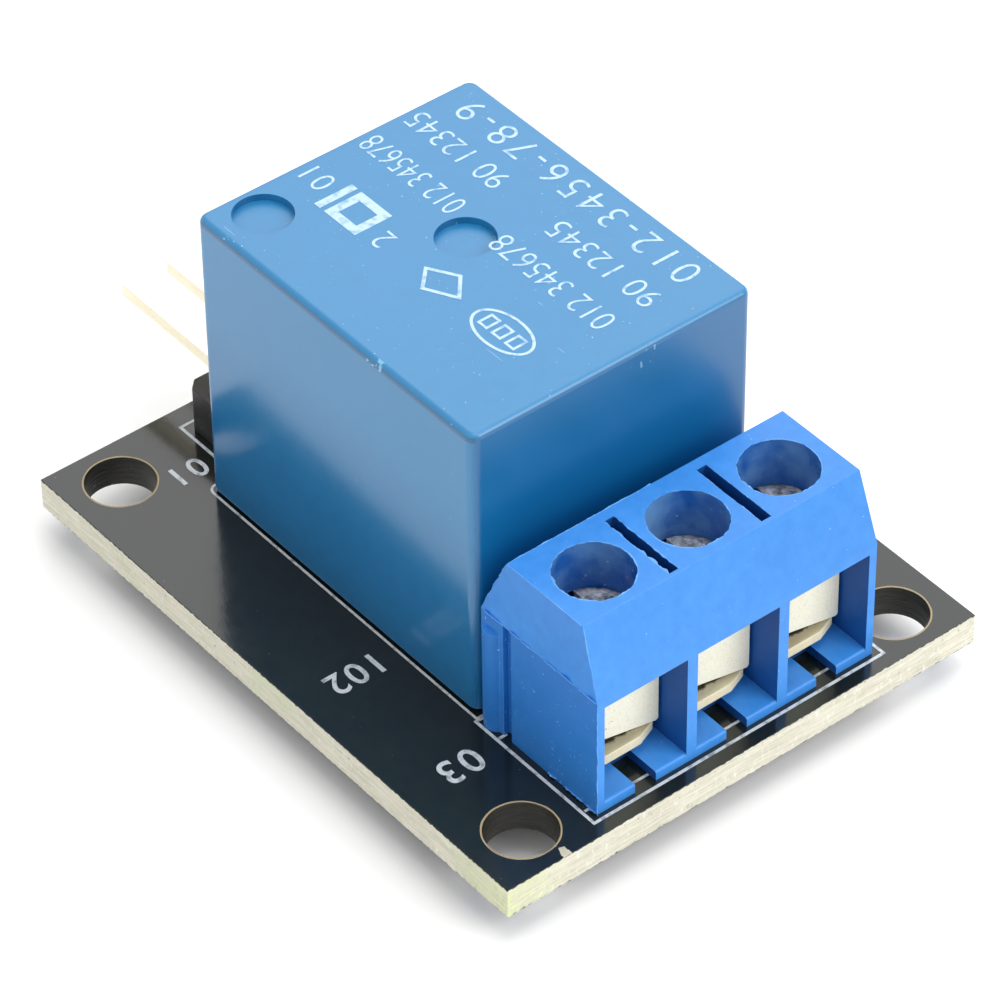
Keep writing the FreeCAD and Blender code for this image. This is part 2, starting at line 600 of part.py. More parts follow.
def fixed_contact(label, side, strip_bottom, button_bottom):
    """A strip that stands on the base at one side and reaches over to the middle."""
    strip_top = f"({strip_bottom} + contact_sheet)"
    outside = f"{side} * ({RELAY_PIN_Y} + contact_sheet / 2)"
    inside = f"{side} * ({RELAY_PIN_Y} - contact_sheet / 2)"
    body = new_body(label)
    sketch = new_sketch(body, "YZ", f"{CONTACT_X} - contact_strip_width / 2")
    draw_outline(sketch, [
        (outside, BASE_TOP),
        (outside, strip_top),
        (f"-{side} * contact_strip_reach", strip_top),
        (f"-{side} * contact_strip_reach", strip_bottom),
        (inside, strip_bottom),
        (inside, BASE_TOP),
    ])
    pad(body, sketch, "contact_strip_width")
    dress(body, "Fillet", "strip_bend", lambda edge: lies_at(edge, y=size(outside), z=size(strip_top)))
    sketch = new_sketch(body, "XY", button_bottom)
    draw_circle(sketch, CONTACT_X, ZERO, "contact_radius")
    pad(body, sketch, "contact_button")
    sketch = new_sketch(body, "XY", LEAD_END)
    draw_block(sketch, CONTACT_PIN_X, f"{side} * {RELAY_PIN_Y}", "contact_pin_width", "contact_sheet")
    pad(body, sketch, f"{BASE_TOP} + contact_sheet - {LEAD_END}")


fixed_contact("closed_contact", "1", f"({CLOSED_FACE} + contact_button)", CLOSED_FACE)
fixed_contact(
    "open_contact",
    "-1",
    f"({OPEN_FACE} - contact_button - contact_sheet)",
    f"({OPEN_FACE} - contact_button)",
)

# Header: a moulded block notched between its places, and three square pins bent over the edge

header = new_body("header_block")
for y in HEADER_Y:
    sketch = new_sketch(header, "XY", BOARD_TOP)
    half_x = "header_width / 2"
    half_y = "pin_pitch / 2"
    draw_outline(sketch, [
        (f"{HEADER_X} - {half_x} + header_notch", f"{y} - {half_y}"),
        (f"{HEADER_X} + {half_x} - header_notch", f"{y} - {half_y}"),
        (f"{HEADER_X} + {half_x}", f"{y} - {half_y} + header_notch"),
        (f"{HEADER_X} + {half_x}", f"{y} + {half_y} - header_notch"),
        (f"{HEADER_X} + {half_x} - header_notch", f"{y} + {half_y}"),
        (f"{HEADER_X} - {half_x} + header_notch", f"{y} + {half_y}"),
        (f"{HEADER_X} - {half_x}", f"{y} + {half_y} - header_notch"),
        (f"{HEADER_X} - {half_x}", f"{y} - {half_y} + header_notch"),
    ])
    pad(header, sketch, "header_height")
sketch = new_sketch(header, "XY", HEADER_TOP)
for x, y, wide, deep in HEADER_LEADS:
    draw_block(sketch, x, y, wide, deep, "part_gap")
pocket(header, sketch, "header_height")

PIN_TIP = f"(-{BOARD_LENGTH} / 2 - pin_reach)"
PIN_UNDER = f"({HEADER_TOP} + pin_rise - pin_side / 2)"
for number, y in enumerate(HEADER_Y, start=1):
    pin = new_body(f"header_pin_{number}")
    sketch = new_sketch(pin, "XZ", f"{y} - pin_side / 2")
    draw_outline(sketch, [
        (f"{HEADER_X} - pin_side / 2", LEAD_END),
        (f"{HEADER_X} + pin_side / 2", LEAD_END),
        (f"{HEADER_X} + pin_side / 2", f"{PIN_UNDER} + pin_side"),
        (PIN_TIP, f"{PIN_UNDER} + pin_side"),
        (PIN_TIP, PIN_UNDER),
        (f"{HEADER_X} - pin_side / 2", PIN_UNDER),
    ])
    pad(pin, sketch, "pin_side", reverse=True)
    inner = (size(f"{HEADER_X} - pin_side / 2"), size(PIN_UNDER))
    outer = (size(f"{HEADER_X} + pin_side / 2"), size(f"{PIN_UNDER} + pin_side"))
    dress(pin, "Fillet", "pin_bend", lambda edge: lies_at(edge, x=inner[0], z=inner[1]))
    dress(pin, "Fillet", "pin_bend + pin_side", lambda edge: lies_at(edge, x=outer[0], z=outer[1]))
    dress(pin, "Chamfer", "pin_point", lambda edge: edge.BoundBox.XMax < size(PIN_TIP) + 1e-4)

# Terminal block: one moulded housing for three ways. Its front and back slope above a shoulder,
# and each way has a wire entry, a chamber for the clamp and a screwdriver bore.

SHOULDER = "(board_thickness + terminal_shoulder)"
TERMINAL_TOP = "(board_thickness + terminal_height)"
TERMINAL_NEAR = f"({SCREW_Y[0]} - terminal_end)"
TERMINAL_FAR = f"({SCREW_Y[2]} + terminal_end)"
TERMINAL_WIDTH = "(2 * terminal_pitch + 2 * terminal_end)"
ENTRY_TOP = "(board_thickness + entry_top)"
CHAMBER_TOP = "(board_thickness + chamber_top)"
CHAMBER_BACK = f"({TERMINAL_BACK} + chamber_back)"
CHAMBER_FRONT = f"({TERMINAL_FRONT} - chamber_front)"

housing = new_body("terminal_housing")
sketch = new_sketch(housing, "XZ", TERMINAL_NEAR)
draw_outline(sketch, [
    (TERMINAL_BACK, BOARD_TOP),
    (TERMINAL_FRONT, BOARD_TOP),
    (TERMINAL_FRONT, SHOULDER),
    (f"{TERMINAL_FRONT} - terminal_front_slope", TERMINAL_TOP),
    (f"{TERMINAL_BACK} + terminal_back_slope", TERMINAL_TOP),
    (TERMINAL_BACK, SHOULDER),
])
pad(housing, sketch, TERMINAL_WIDTH, reverse=True)

# The end faces lean in a little above the shoulder
for end, lean in ((TERMINAL_NEAR, "terminal_end_slope"), (TERMINAL_FAR, "-terminal_end_slope")):
    outward = f"({end} - 4 * {lean})"
    sketch = new_sketch(housing, "YZ", f"{TERMINAL_BACK} - terminal_end_slope")
    draw_outline(sketch, [(end, SHOULDER), (f"{end} + {lean}", TERMINAL_TOP), (outward, TERMINAL_TOP)])
    pocket(housing, sketch, "terminal_depth + 2 * terminal_end_slope", reverse=True)

# The rib and groove of the near end face lock into a neighbour block
RIB_X = f"({TERMINAL_BACK} + rib_radius)"
GROOVE_X = f"({TERMINAL_BACK} + 2 * rib_radius + groove_width / 2 + rib_radius / 4)"
sketch = new_sketch(housing, "XY", BOARD_TOP)
draw_circle(sketch, RIB_X, f"{TERMINAL_NEAR} - rib_proud + rib_radius", "rib_radius")
pad(housing, sketch, "rib_height")
sketch = new_sketch(housing, "XY", SHOULDER)
draw_block(sketch, GROOVE_X, TERMINAL_NEAR, "groove_width", "2 * groove_depth")
pocket(housing, sketch, "terminal_shoulder")

for y in SCREW_Y:
    # Wire entry, and behind it the higher chamber for the clamp
    sketch = new_sketch(housing, "XZ", f"{y} - entry_width / 2")
    draw_outline(sketch, [
        (TERMINAL_FRONT, FRAME_BOTTOM),
        (TERMINAL_FRONT, ENTRY_TOP),
        (CHAMBER_FRONT, ENTRY_TOP),
        (CHAMBER_FRONT, CHAMBER_TOP),
        (CHAMBER_BACK, CHAMBER_TOP),
        (CHAMBER_BACK, FRAME_BOTTOM),
    ])
    pocket(housing, sketch, "entry_width")
sketch = new_sketch(housing, "XY", TERMINAL_TOP)
for y in SCREW_Y:
    draw_circle(sketch, SCREW_X, y, "bore_radius")
pocket(housing, sketch, f"{TERMINAL_TOP} - {CHAMBER_TOP}")
sketch = new_sketch(housing, "XY", FRAME_BOTTOM)
for y in SCREW_Y:
    draw_rectangle(
        sketch,
        f"{TERMINAL_FRONT} - foot_slot_length",
        f"{y} - foot_slot_width / 2",
        TERMINAL_FRONT,
        f"{y} + foot_slot_width / 2",
    )
pocket(housing, sketch, "floor_height")
dress(
    housing,
    "Fillet",
    "foot_round",
    lambda edge: runs_along(edge, Y_AXIS) and lies_at(edge, x=size(TERMINAL_FRONT), z=size(FRAME_BOTTOM)),
)
sketch = new_sketch(housing, "XY", FRAME_BOTTOM)
for x, y, wide, deep in TERMINAL_LEADS:
    draw_block(sketch, x, y, wide, deep, "part_gap")
pocket(housing, sketch, "floor_height")
sketch = new_sketch(housing, "XY", TERMINAL_TOP)
for y in SCREW_Y[:2]:
    draw_rectangle(
        sketch,
        f"{TERMINAL_FRONT} - slot_setback - slot_length",
        f"{y} + terminal_pitch / 2 - slot_width / 2",
        f"{TERMINAL_FRONT} - slot_setback",
        f"{y} + terminal_pitch / 2 + slot_width / 2",
    )
pocket(housing, sketch, "slot_depth")

# Clamps: in each way a fixed brass frame with its pin, a wire guard and the screw that moves it

for number, y in enumerate(SCREW_Y, start=1):
    frame = new_body(f"clamp_frame_{number}")
    sketch = new_sketch(frame, "YZ", FRAME_BACK)
    draw_rectangle(sketch, f"{y} - frame_width / 2", FRAME_BOTTOM, f"{y} + frame_width / 2", FRAME_TOP)
    draw_rectangle(
        sketch,
        f"{y} - frame_width / 2 + frame_wall",
        f"{FRAME_BOTTOM} + frame_floor",
        f"{y} + frame_width / 2 - frame_wall",
        f"{FRAME_TOP} - frame_roof",
    )
    pad(frame, sketch, "frame_depth")
    low = size(f"{y} - frame_width / 2")
    high = size(f"{y} + frame_width / 2")
    dress(
        frame,
        "Fillet",
        "frame_round",
        lambda edge: runs_along(edge, X_AXIS) and (lies_at(edge, y=low) or lies_at(edge, y=high)),
    )
    sketch = new_sketch(frame, "XY", FRAME_TOP)
    draw_circle(sketch, SCREW_X, y, "screw_radius + thread_gap")
    pocket(frame, sketch, "frame_roof")
    sketch = new_sketch(frame, "XY", f"{FRAME_BOTTOM} + frame_floor")
    draw_outline(sketch, [
        (f"{FRAME_FRONT} + tongue_reach - tongue_taper", f"{y} - tongue_root / 2"),
        (f"{FRAME_FRONT} + tongue_reach", f"{y} - tongue_tip / 2"),
        (f"{FRAME_FRONT} + tongue_reach", f"{y} + tongue_tip / 2"),
        (f"{FRAME_FRONT} + tongue_reach - tongue_taper", f"{y} + tongue_root / 2"),
        (f"{FRAME_FRONT} - frame_wall", f"{y} + tongue_root / 2"),
        (f"{FRAME_FRONT} - frame_wall", f"{y} - tongue_root / 2"),
    ])
    pad(frame, sketch, "tongue_sheet", reverse=True)
    sketch = new_sketch(frame, "XY", LEAD_END)
    draw_block(sketch, SCREW_X, y, "terminal_pin_x", "terminal_pin_y")
    pad(frame, sketch, f"{FRAME_BOTTOM} + frame_floor / 2 - {LEAD_END}")

    # The guard's front plate closes the entry, and its foot presses on the wire. The plate is cut
    # askew, so its lower edge falls to one corner.
    guard = new_body(f"wire_guard_{number}")
    sketch = new_sketch(guard, "YZ", GUARD_BACK)
    draw_outline(sketch, [
        (f"{y} - guard_width / 2", f"{GUARD_BOTTOM} + guard_lean"),
        (f"{y} + guard_width / 2", GUARD_BOTTOM),
        (f"{y} + guard_width / 2", f"{GUARD_BOTTOM} + guard_height"),
        (f"{y} - guard_width / 2", f"{GUARD_BOTTOM} + guard_height"),
    ])
    pad(guard, sketch, "guard_sheet")
    corner = (size(f"{y} + guard_width / 2"), size(GUARD_BOTTOM))
    dress(guard, "Fillet", "guard_round", lambda edge: lies_at(edge, y=corner[0], z=corner[1]))
    foot_width = "(frame_width - 2 * frame_wall - 2 * guard_side_gap)"
    sketch = new_sketch(guard, "XY", GUARD_FOOT)
    draw_rectangle(
        sketch,
        f"{FRAME_BACK} + guard_side_gap",
        f"{y} - {foot_width} / 2",
        f"{GUARD_BACK} + guard_sheet / 2",
        f"{y} + {foot_width} / 2",
    )
    pad(guard, sketch, "guard_sheet")
    bend = (size(GUARD_BACK), size(f"{GUARD_FOOT} + guard_sheet"))
    dress(guard, "Fillet", "guard_bend", lambda edge: lies_at(edge, x=bend[0], z=bend[1]))

    # The screw is turned in one piece: head, thread and blunt tip
    screw = new_body(f"terminal_screw_{number}")
    sketch = new_sketch(screw, "XZ", y, SCREW_X)
    draw_outline(sketch, [
        (ZERO, SCREW_TIP),
        ("screw_radius", SCREW_TIP),
        ("screw_radius", HEAD_BOTTOM),
        ("head_radius", HEAD_BOTTOM),
        ("head_radius", f"{HEAD_TOP} - head_round"),
        ("head_radius - head_round", HEAD_TOP),
        (ZERO, HEAD_TOP),
    ])
    revolve(screw, sketch)
    sketch = new_sketch(screw, "XY", HEAD_TOP)
    draw_block(sketch, SCREW_X, y, "2 * head_radius + head_round", "head_slot_width")
    pocket(screw, sketch, "head_slot_depth")


# Driver parts: small parts soldered on the component side, behind the relay

ROW_Y = f"({BOARD_WIDTH} / 2 - driver_inset)"
BASE_RESISTOR_X = f"({RELAY_BACK} + driver_row_start)"
TRANSISTOR_X = f"({BASE_RESISTOR_X} + transistor_step)"
DIODE_X = f"({TRANSISTOR_X} + diode_step)"
LAMP_RESISTOR_X = f"({DIODE_X} + lamp_resistor_step)"
LAMP_X = f"({LAMP_RESISTOR_X} + lamp_step)"


def chip(label, x, height):
    """A ceramic chip with a metal cap at each end, soldered flat on the board."""
    body = new_body(label)
    sketch = new_sketch(body, "XY", BOARD_TOP)
    draw_block(sketch, x, ROW_Y, "chip_length", "chip_width")
    pad(body, sketch, height)
    sketch = new_sketch(body, "XY", f"{BOARD_TOP} + {height}")
    draw_block(sketch, x, ROW_Y, "chip_length - 2 * chip_cap", "chip_width + 2 * chip_step")
    pocket(body, sketch, "chip_step")
    return body


chip("base_resistor", BASE_RESISTOR_X, "chip_height")
chip("lamp_resistor", LAMP_RESISTOR_X, "chip_height")
lamp = chip("indicator_lamp", LAMP_X, "lamp_base")
sketch = new_sketch(lamp, "XY", f"{BOARD_TOP} + lamp_base - chip_step")
draw_block(sketch, LAMP_X, ROW_Y, "chip_length - 2 * chip_cap", "chip_width")
pad(lamp, sketch, "lamp_dome + chip_step")

transistor = new_body("driver_transistor")
TRANSISTOR_TOP = f"({BOARD_TOP} + transistor_lift + transistor_height)"
sketch = new_sketch(transistor, "XY", f"{BOARD_TOP} + transistor_lift")
draw_block(sketch, TRANSISTOR_X, ROW_Y, "transistor_length", "transistor_width")
pad(transistor, sketch, "transistor_height")
dress(transistor, "Chamfer", "transistor_bevel", lambda edge: lies_at(edge, z=size(TRANSISTOR_TOP)))
for step, side in (("-transistor_pitch / 2", "-1"), ("transistor_pitch / 2", "-1"), ("0", "1")):
    # Each lead leaves the body, turns down and ends in a foot on the board
    root = f"{ROW_Y} + {side} * (transistor_width / 2 - transistor_bevel)"
    knee = f"{ROW_Y} + {side} * (transistor_width / 2 + transistor_lead_reach / 2)"
    toe = f"{ROW_Y} + {side} * (transistor_width / 2 + transistor_lead_reach)"
    rise = f"{BOARD_TOP} + transistor_lead_rise"
    sketch = new_sketch(transistor, "YZ", f"{TRANSISTOR_X} + {step} - transistor_lead_width / 2")
    draw_outline(sketch, [
        (root, rise),
        (root, f"{rise} + transistor_lead_sheet"),
        (knee, f"{rise} + transistor_lead_sheet"),
        (knee, f"{BOARD_TOP} + transistor_lead_sheet"),
        (toe, f"{BOARD_TOP} + transistor_lead_sheet"),
        (toe, BOARD_TOP),
        (f"{knee} - {side} * transistor_lead_sheet", BOARD_TOP),
        (f"{knee} - {side} * transistor_lead_sheet", rise),
    ])
    pad(transistor, sketch, "transistor_lead_width")

diode = new_body("flyback_diode")
DIODE_FOOT = f"({BOARD_TOP} + diode_lift)"
DIODE_SEAM = f"({DIODE_FOOT} + diode_height / 2)"
sketch = new_sketch(diode, "XZ", f"{ROW_Y} - diode_width / 2")
draw_outline(sketch, [
    (f"{DIODE_X} - diode_length / 2 + diode_draft", DIODE_FOOT),
    (f"{DIODE_X} + diode_length / 2 - diode_draft", DIODE_FOOT),
    (f"{DIODE_X} + diode_length / 2", DIODE_SEAM),
    (f"{DIODE_X} + diode_length / 2 - diode_draft", f"{DIODE_FOOT} + diode_height"),
    (f"{DIODE_X} - diode_length / 2 + diode_draft", f"{DIODE_FOOT} + diode_height"),
    (f"{DIODE_X} - diode_length / 2", DIODE_SEAM),
])
pad(diode, sketch, "diode_width", reverse=True)
for side in ("-1", "1"):
    # Each lead leaves the seam, hugs the end and turns in under the body
    outside = f"{DIODE_X} + {side} * (diode_length / 2 + diode_lead_sheet)"
    inside = f"{DIODE_X} + {side} * (diode_length / 2 - diode_draft / 2)"
    toe = f"{DIODE_X} + {side} * (diode_length / 2 - diode_lead_foot)"
    sketch = new_sketch(diode, "XZ", f"{ROW_Y} - diode_lead_width / 2")
    draw_outline(sketch, [
        (toe, BOARD_TOP),
        (outside, BOARD_TOP),
        (outside, f"{DIODE_SEAM} + diode_lead_sheet / 2"),
        (inside, f"{DIODE_SEAM} + diode_lead_sheet / 2"),
        (inside, f"{BOARD_TOP} + diode_lift + diode_lead_sheet / 2"),
        (toe, f"{BOARD_TOP} + diode_lift + diode_lead_sheet / 2"),
    ])
    pad(diode, sketch, "diode_lead_width", reverse=True)


# Solder joints: a cone round each lead on the underside of the board

def solder_joints(label, leads):
    """One group of separate cones, each bored for its lead."""
    cones = []
    for x, y, wide, deep in leads:
        cone = doc.addObject("Part::Cone", label + "_cone")
        cone.setExpression("Radius1", bound("solder_tip_radius"))
        cone.setExpression("Radius2", bound("solder_foot_radius"))
        cone.setExpression("Height", bound("solder_height"))
        cone.setExpression(".Placement.Base.x", bound(x))
        cone.setExpression(".Placement.Base.y", bound(y))
        cone.setExpression(".Placement.Base.z", bound("-solder_height"))
        lead = doc.addObject("Part::Box", label + "_lead")
        lead.setExpression("Length", bound(wide))
        lead.setExpression("Width", bound(deep))
        lead.setExpression("Height", bound("3 * solder_height"))
        lead.setExpression(".Placement.Base.x", bound(f"{x} - ({wide}) / 2"))
        lead.setExpression(".Placement.Base.y", bound(f"{y} - ({deep}) / 2"))
        lead.setExpression(".Placement.Base.z", bound("-2 * solder_height"))
        joint = doc.addObject("Part::Cut", label + "_joint")
        joint.Base = cone
        joint.Tool = lead
        cones.append(joint)
    group = doc.addObject("Part::Compound", label)
    group.Label = label
    group.Links = cones
    return group


groups = [
    solder_joints("header_solder", HEADER_LEADS),
    solder_joints("terminal_solder", TERMINAL_LEADS),
    solder_joints("relay_solder", RELAY_LEADS),
]
doc.recompute()

# Check every object, then write one file for each piece

for item in doc.Objects:
    if "Invalid" in item.State or "Error" in item.State:
        raise RuntimeError(f"{item.Label}: {item.State}")

pieces = [item for item in doc.Objects if item.TypeId == "PartDesign::Body"] + groups
for piece in pieces:
    if piece.Shape.isNull() or not piece.Shape.isValid():
        raise RuntimeError(f"{piece.Label}: no valid shape")

os.makedirs("parts", exist_ok=True)
for piece in pieces:
    piece.Shape.exportStep(f"parts/{piece.Label}.step")
    print(f"{piece.Label}: {len(piece.Shape.Solids)} solid, {piece.Shape.Volume:.2f} mm3")
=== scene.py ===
import math

import bmesh
import bpy
from mathutils import Matrix, Vector, noise


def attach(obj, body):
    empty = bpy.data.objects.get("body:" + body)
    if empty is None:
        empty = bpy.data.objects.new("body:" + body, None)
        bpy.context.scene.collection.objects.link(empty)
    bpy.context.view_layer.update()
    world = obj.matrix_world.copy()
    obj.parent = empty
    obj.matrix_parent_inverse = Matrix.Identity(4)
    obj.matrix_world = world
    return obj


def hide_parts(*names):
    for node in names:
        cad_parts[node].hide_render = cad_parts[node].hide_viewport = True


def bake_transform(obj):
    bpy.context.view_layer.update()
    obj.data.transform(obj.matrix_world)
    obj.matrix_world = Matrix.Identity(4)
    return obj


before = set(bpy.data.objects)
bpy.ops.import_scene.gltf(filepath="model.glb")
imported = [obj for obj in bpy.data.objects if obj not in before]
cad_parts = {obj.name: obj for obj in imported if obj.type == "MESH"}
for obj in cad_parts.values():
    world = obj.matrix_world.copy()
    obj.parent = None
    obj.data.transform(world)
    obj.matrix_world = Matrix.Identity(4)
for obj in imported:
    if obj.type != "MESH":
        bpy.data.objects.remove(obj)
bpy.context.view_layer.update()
MM = 0.001

# Circuit board
# A routed panel of glass laminate with a dark solder mask on both faces. Its edges and the walls
# of its holes are bare laminate, and each mounting hole has a narrow bare ring round it.

HOLE_X, HOLE_Y = 14.25 * MM, 10.45 * MM
RING_RADIUS = 1.775 * MM
BOARD_TOP = 1.6 * MM


def add_node(tree, kind, inputs=(), **settings):
    """Adds a shader node. Each input takes a plain value or the output of another node."""
    made = tree.nodes.new("ShaderNode" + kind)
    for name, value in settings.items():
        setattr(made, name, value)
    for socket, value in dict(inputs).items():
        if isinstance(value, bpy.types.NodeSocket):
            tree.links.new(value, made.inputs[socket])
        else:
            made.inputs[socket].default_value = value
    return made.outputs


def shader_of(tree):
    """The inputs of a material's own shader."""
    return tree.nodes["Principled BSDF"].inputs


def new_material(name, colour, roughness, metallic=0.0):
    """A plain finish, ready for detail. Returns the material, its node tree and its shader's inputs."""
    made = bpy.data.materials.new(name)
    made.use_nodes = True
    shader = shader_of(made.node_tree)
    shader["Base Color"].default_value = (*colour, 1)
    shader["Roughness"].default_value = roughness
    shader["Metallic"].default_value = metallic
    return made, made.node_tree, shader


def so_far(socket):
    """What feeds an input at this point, to be built on."""
    return socket.links[0].from_socket


def mix(tree, share, first, second):
    """One colour turned into another by a share from 0 to 1."""
    ends = [end if isinstance(end, bpy.types.NodeSocket) else (*end, 1) for end in (first, second)]
    return add_node(tree, "Mix", {0: share, 6: ends[0], 7: ends[1]}, data_type="RGBA")[2]


def between(tree, share, first, second):
    """One value turned into another by a share from 0 to 1."""
    return add_node(tree, "Mix", {0: share, 2: first, 3: second}, data_type="FLOAT")[0]


def maths(tree, operation, first, second=0.0):
    """One operation on one or two values."""
    return add_node(tree, "Math", {0: first, 1: second}, operation=operation)[0]


def times(tree, first, *others):
    """The product of values, which for masks is where all of them are 1."""
    for other in others:
        first = maths(tree, "MULTIPLY", first, other)
    return first


def length(tree, across, along):
    """The length of a line from its two parts."""
    square = maths(tree, "ADD", maths(tree, "POWER", across, 2.0), maths(tree, "POWER", along, 2.0))
    return maths(tree, "SQRT", square)


def spread(tree, value, low, high, start=0.0, end=1.0):
    """Stretches a value from one range to another and stops at the ends."""
    inputs = {"Value": value, "From Min": low, "From Max": high, "To Min": start, "To Max": end}
    return add_node(tree, "MapRange", inputs)[0]


def place_on(tree, stretch=(1, 1, 1)):
    """The place on the piece, stretched along its axes."""
    place = add_node(tree, "TexCoord")["Object"]
    return add_node(tree, "Mapping", {"Vector": place, "Scale": stretch})[0]


def cloud(tree, place, scale, detail=3.0, roughness=0.55):
    """Soft noise, mostly between 0.3 and 0.7."""
    inputs = {"Vector": place, "Scale": scale, "Detail": detail, "Roughness": roughness}
    return add_node(tree, "TexNoise", inputs)["Fac"]


def solid_copy(name):
    """A solid's own shape as one clean mesh, with its loose triangles joined into whole faces."""
    mesh = bmesh.new()
    mesh.from_mesh(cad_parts[name].data)
    bmesh.ops.remove_doubles(mesh, verts=mesh.verts, dist=0.001 * MM)
    bmesh.ops.dissolve_limit(mesh, angle_limit=math.radians(0.5), verts=mesh.verts, edges=mesh.edges)
    return mesh


# Edges that turn by more than this are true corners
CORNER = math.radians(32)


def smooth_faces(mesh):
    """Shades the mesh smooth, with its true corners left sharp."""
    for face in mesh.faces:
        face.smooth = True
    for edge in mesh.edges:
        edge.smooth = len(edge.link_faces) == 2 and edge.calc_face_angle(0) < CORNER


def set_piece(mesh, name, body, materials, replaced=(), edge=0.0, edge_material=-1):
    """Turns a bmesh into a piece, with its sharp edges rounded by a small bevel when one is given.
    """
    smooth_faces(mesh)
    data = bpy.data.meshes.new(name)
    mesh.to_mesh(data)
    mesh.free()
    for material in materials:
        data.materials.append(material)
    piece = bpy.data.objects.new(name, data)
    bpy.context.scene.collection.objects.link(piece)
    if edge:
        bevel = piece.modifiers.new("edge", "BEVEL")
        bevel.width = edge * MM
        bevel.segments = 2
        bevel.limit_method = "ANGLE"
        bevel.angle_limit = CORNER
        bevel.harden_normals = True
        bevel.material = edge_material
    if isinstance(body, str):
        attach(piece, body)
    else:
        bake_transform(piece)
    if replaced:
        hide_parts(*replaced)
    return piece


def dust_group():
    """Fine pale specks that settle on every surface. Puts out a mask."""
    group = bpy.data.node_groups.new("dust_specks", "ShaderNodeTree")
    group.interface.new_socket("Amount", in_out="INPUT", socket_type="NodeSocketFloat")
    group.interface.new_socket("Mask", in_out="OUTPUT", socket_type="NodeSocketFloat")
    start = group.nodes.new("NodeGroupInput").outputs
    end = group.nodes.new("NodeGroupOutput").inputs
    place = place_on(group)
    grains = cloud(group, place, 7200, 1.0)
    drift = cloud(group, place, 210, 2.0)
    level = maths(group, "SUBTRACT", 0.86, times(group, start["Amount"], drift))
    specks = maths(group, "GREATER_THAN", grains, level)
    group.links.new(specks, end["Mask"])
    return group


def grain_group():
    """The fine uneven skin of a moulded or coated surface. Puts out a tone and a normal."""
    group = bpy.data.node_groups.new("moulded_skin", "ShaderNodeTree")
    for name in ("Scale", "Depth"):
        group.interface.new_socket(name, in_out="INPUT", socket_type="NodeSocketFloat")
    group.interface.new_socket("Tone", in_out="OUTPUT", socket_type="NodeSocketFloat")
    group.interface.new_socket("Normal", in_out="OUTPUT", socket_type="NodeSocketVector")
    start = group.nodes.new("NodeGroupInput").outputs
    end = group.nodes.new("NodeGroupOutput").inputs
    place = place_on(group)
    fine = cloud(group, place, start["Scale"], 4.0, 0.65)
    broad = cloud(group, place, times(group, start["Scale"], 0.06), 3.0)
    height = maths(group, "ADD", fine, times(group, broad, 0.8))
    bump = add_node(group, "Bump", {"Height": height, "Strength": start["Depth"], "Distance": 0.02 * MM})
    group.links.new(times(group, maths(group, "ADD", fine, broad), 0.5), end["Tone"])
    group.links.new(bump[0], end["Normal"])
    return group


DUST = dust_group()
GRAIN = grain_group()


def use_group(tree, group, **values):
    """Puts a shared group in a material with the material's own values."""
    made = tree.nodes.new("ShaderNodeGroup")
    made.node_tree = group
    for name, value in values.items():
        made.inputs[name].default_value = value
    return made.outputs


def coat(material_parts, dark, light, scale, depth, specks, speck_colour, rough):
    """Gives a moulded or coated finish its mottle, its skin, its dust and its uneven gloss."""
    material, tree, shader = material_parts
    skin = use_group(tree, GRAIN, Scale=scale, Depth=depth)
    tone = spread(tree, skin["Tone"], 0.35, 0.65)
    colour = mix(tree, tone, dark, light)
    if specks:
        mask = use_group(tree, DUST, Amount=specks)["Mask"]
        colour = mix(tree, mask, colour, speck_colour)
    tree.links.new(colour, shader["Base Color"])
    tree.links.new(spread(tree, skin["Tone"], 0.3, 0.7, *rough), shader["Roughness"])
    tree.links.new(skin["Normal"], shader["Normal"])
    return material


# The nick beside the front hole widens towards the edge of the board
NICK_START, NICK_END = HOLE_X + 1.6 * MM, HOLE_X + 2.4 * MM
NICK_NARROW, NICK_WIDE = 0.38 * MM, 0.58 * MM
NICK_Y = -(HOLE_Y - 0.55 * MM)


def bare_places(tree):
    """Two masks: the bare rings round the mounting holes, and the nick beside the front one."""
    place = add_node(tree, "TexCoord")["Object"]
    x, y, z = add_node(tree, "SeparateXYZ", {0: place})
    wobble = times(tree, cloud(tree, place, 1500, 2.0), 0.08 * MM)
    across = maths(tree, "SUBTRACT", maths(tree, "ABSOLUTE", x), HOLE_X)
    along = maths(tree, "SUBTRACT", maths(tree, "ABSOLUTE", y), HOLE_Y)
    distance = maths(tree, "ADD", length(tree, across, along), wobble)
    ring = maths(tree, "LESS_THAN", distance, RING_RADIUS)
    ragged = times(tree, cloud(tree, place, 1900, 2.0), 0.7 * MM)
    away = maths(tree, "ABSOLUTE", maths(tree, "SUBTRACT", y, NICK_Y))
    half = spread(tree, x, NICK_START, NICK_END, NICK_NARROW, NICK_WIDE)
    nick = maths(tree, "LESS_THAN", maths(tree, "ADD", away, ragged), half)
    return ring, times(tree, nick, maths(tree, "GREATER_THAN", x, NICK_START))


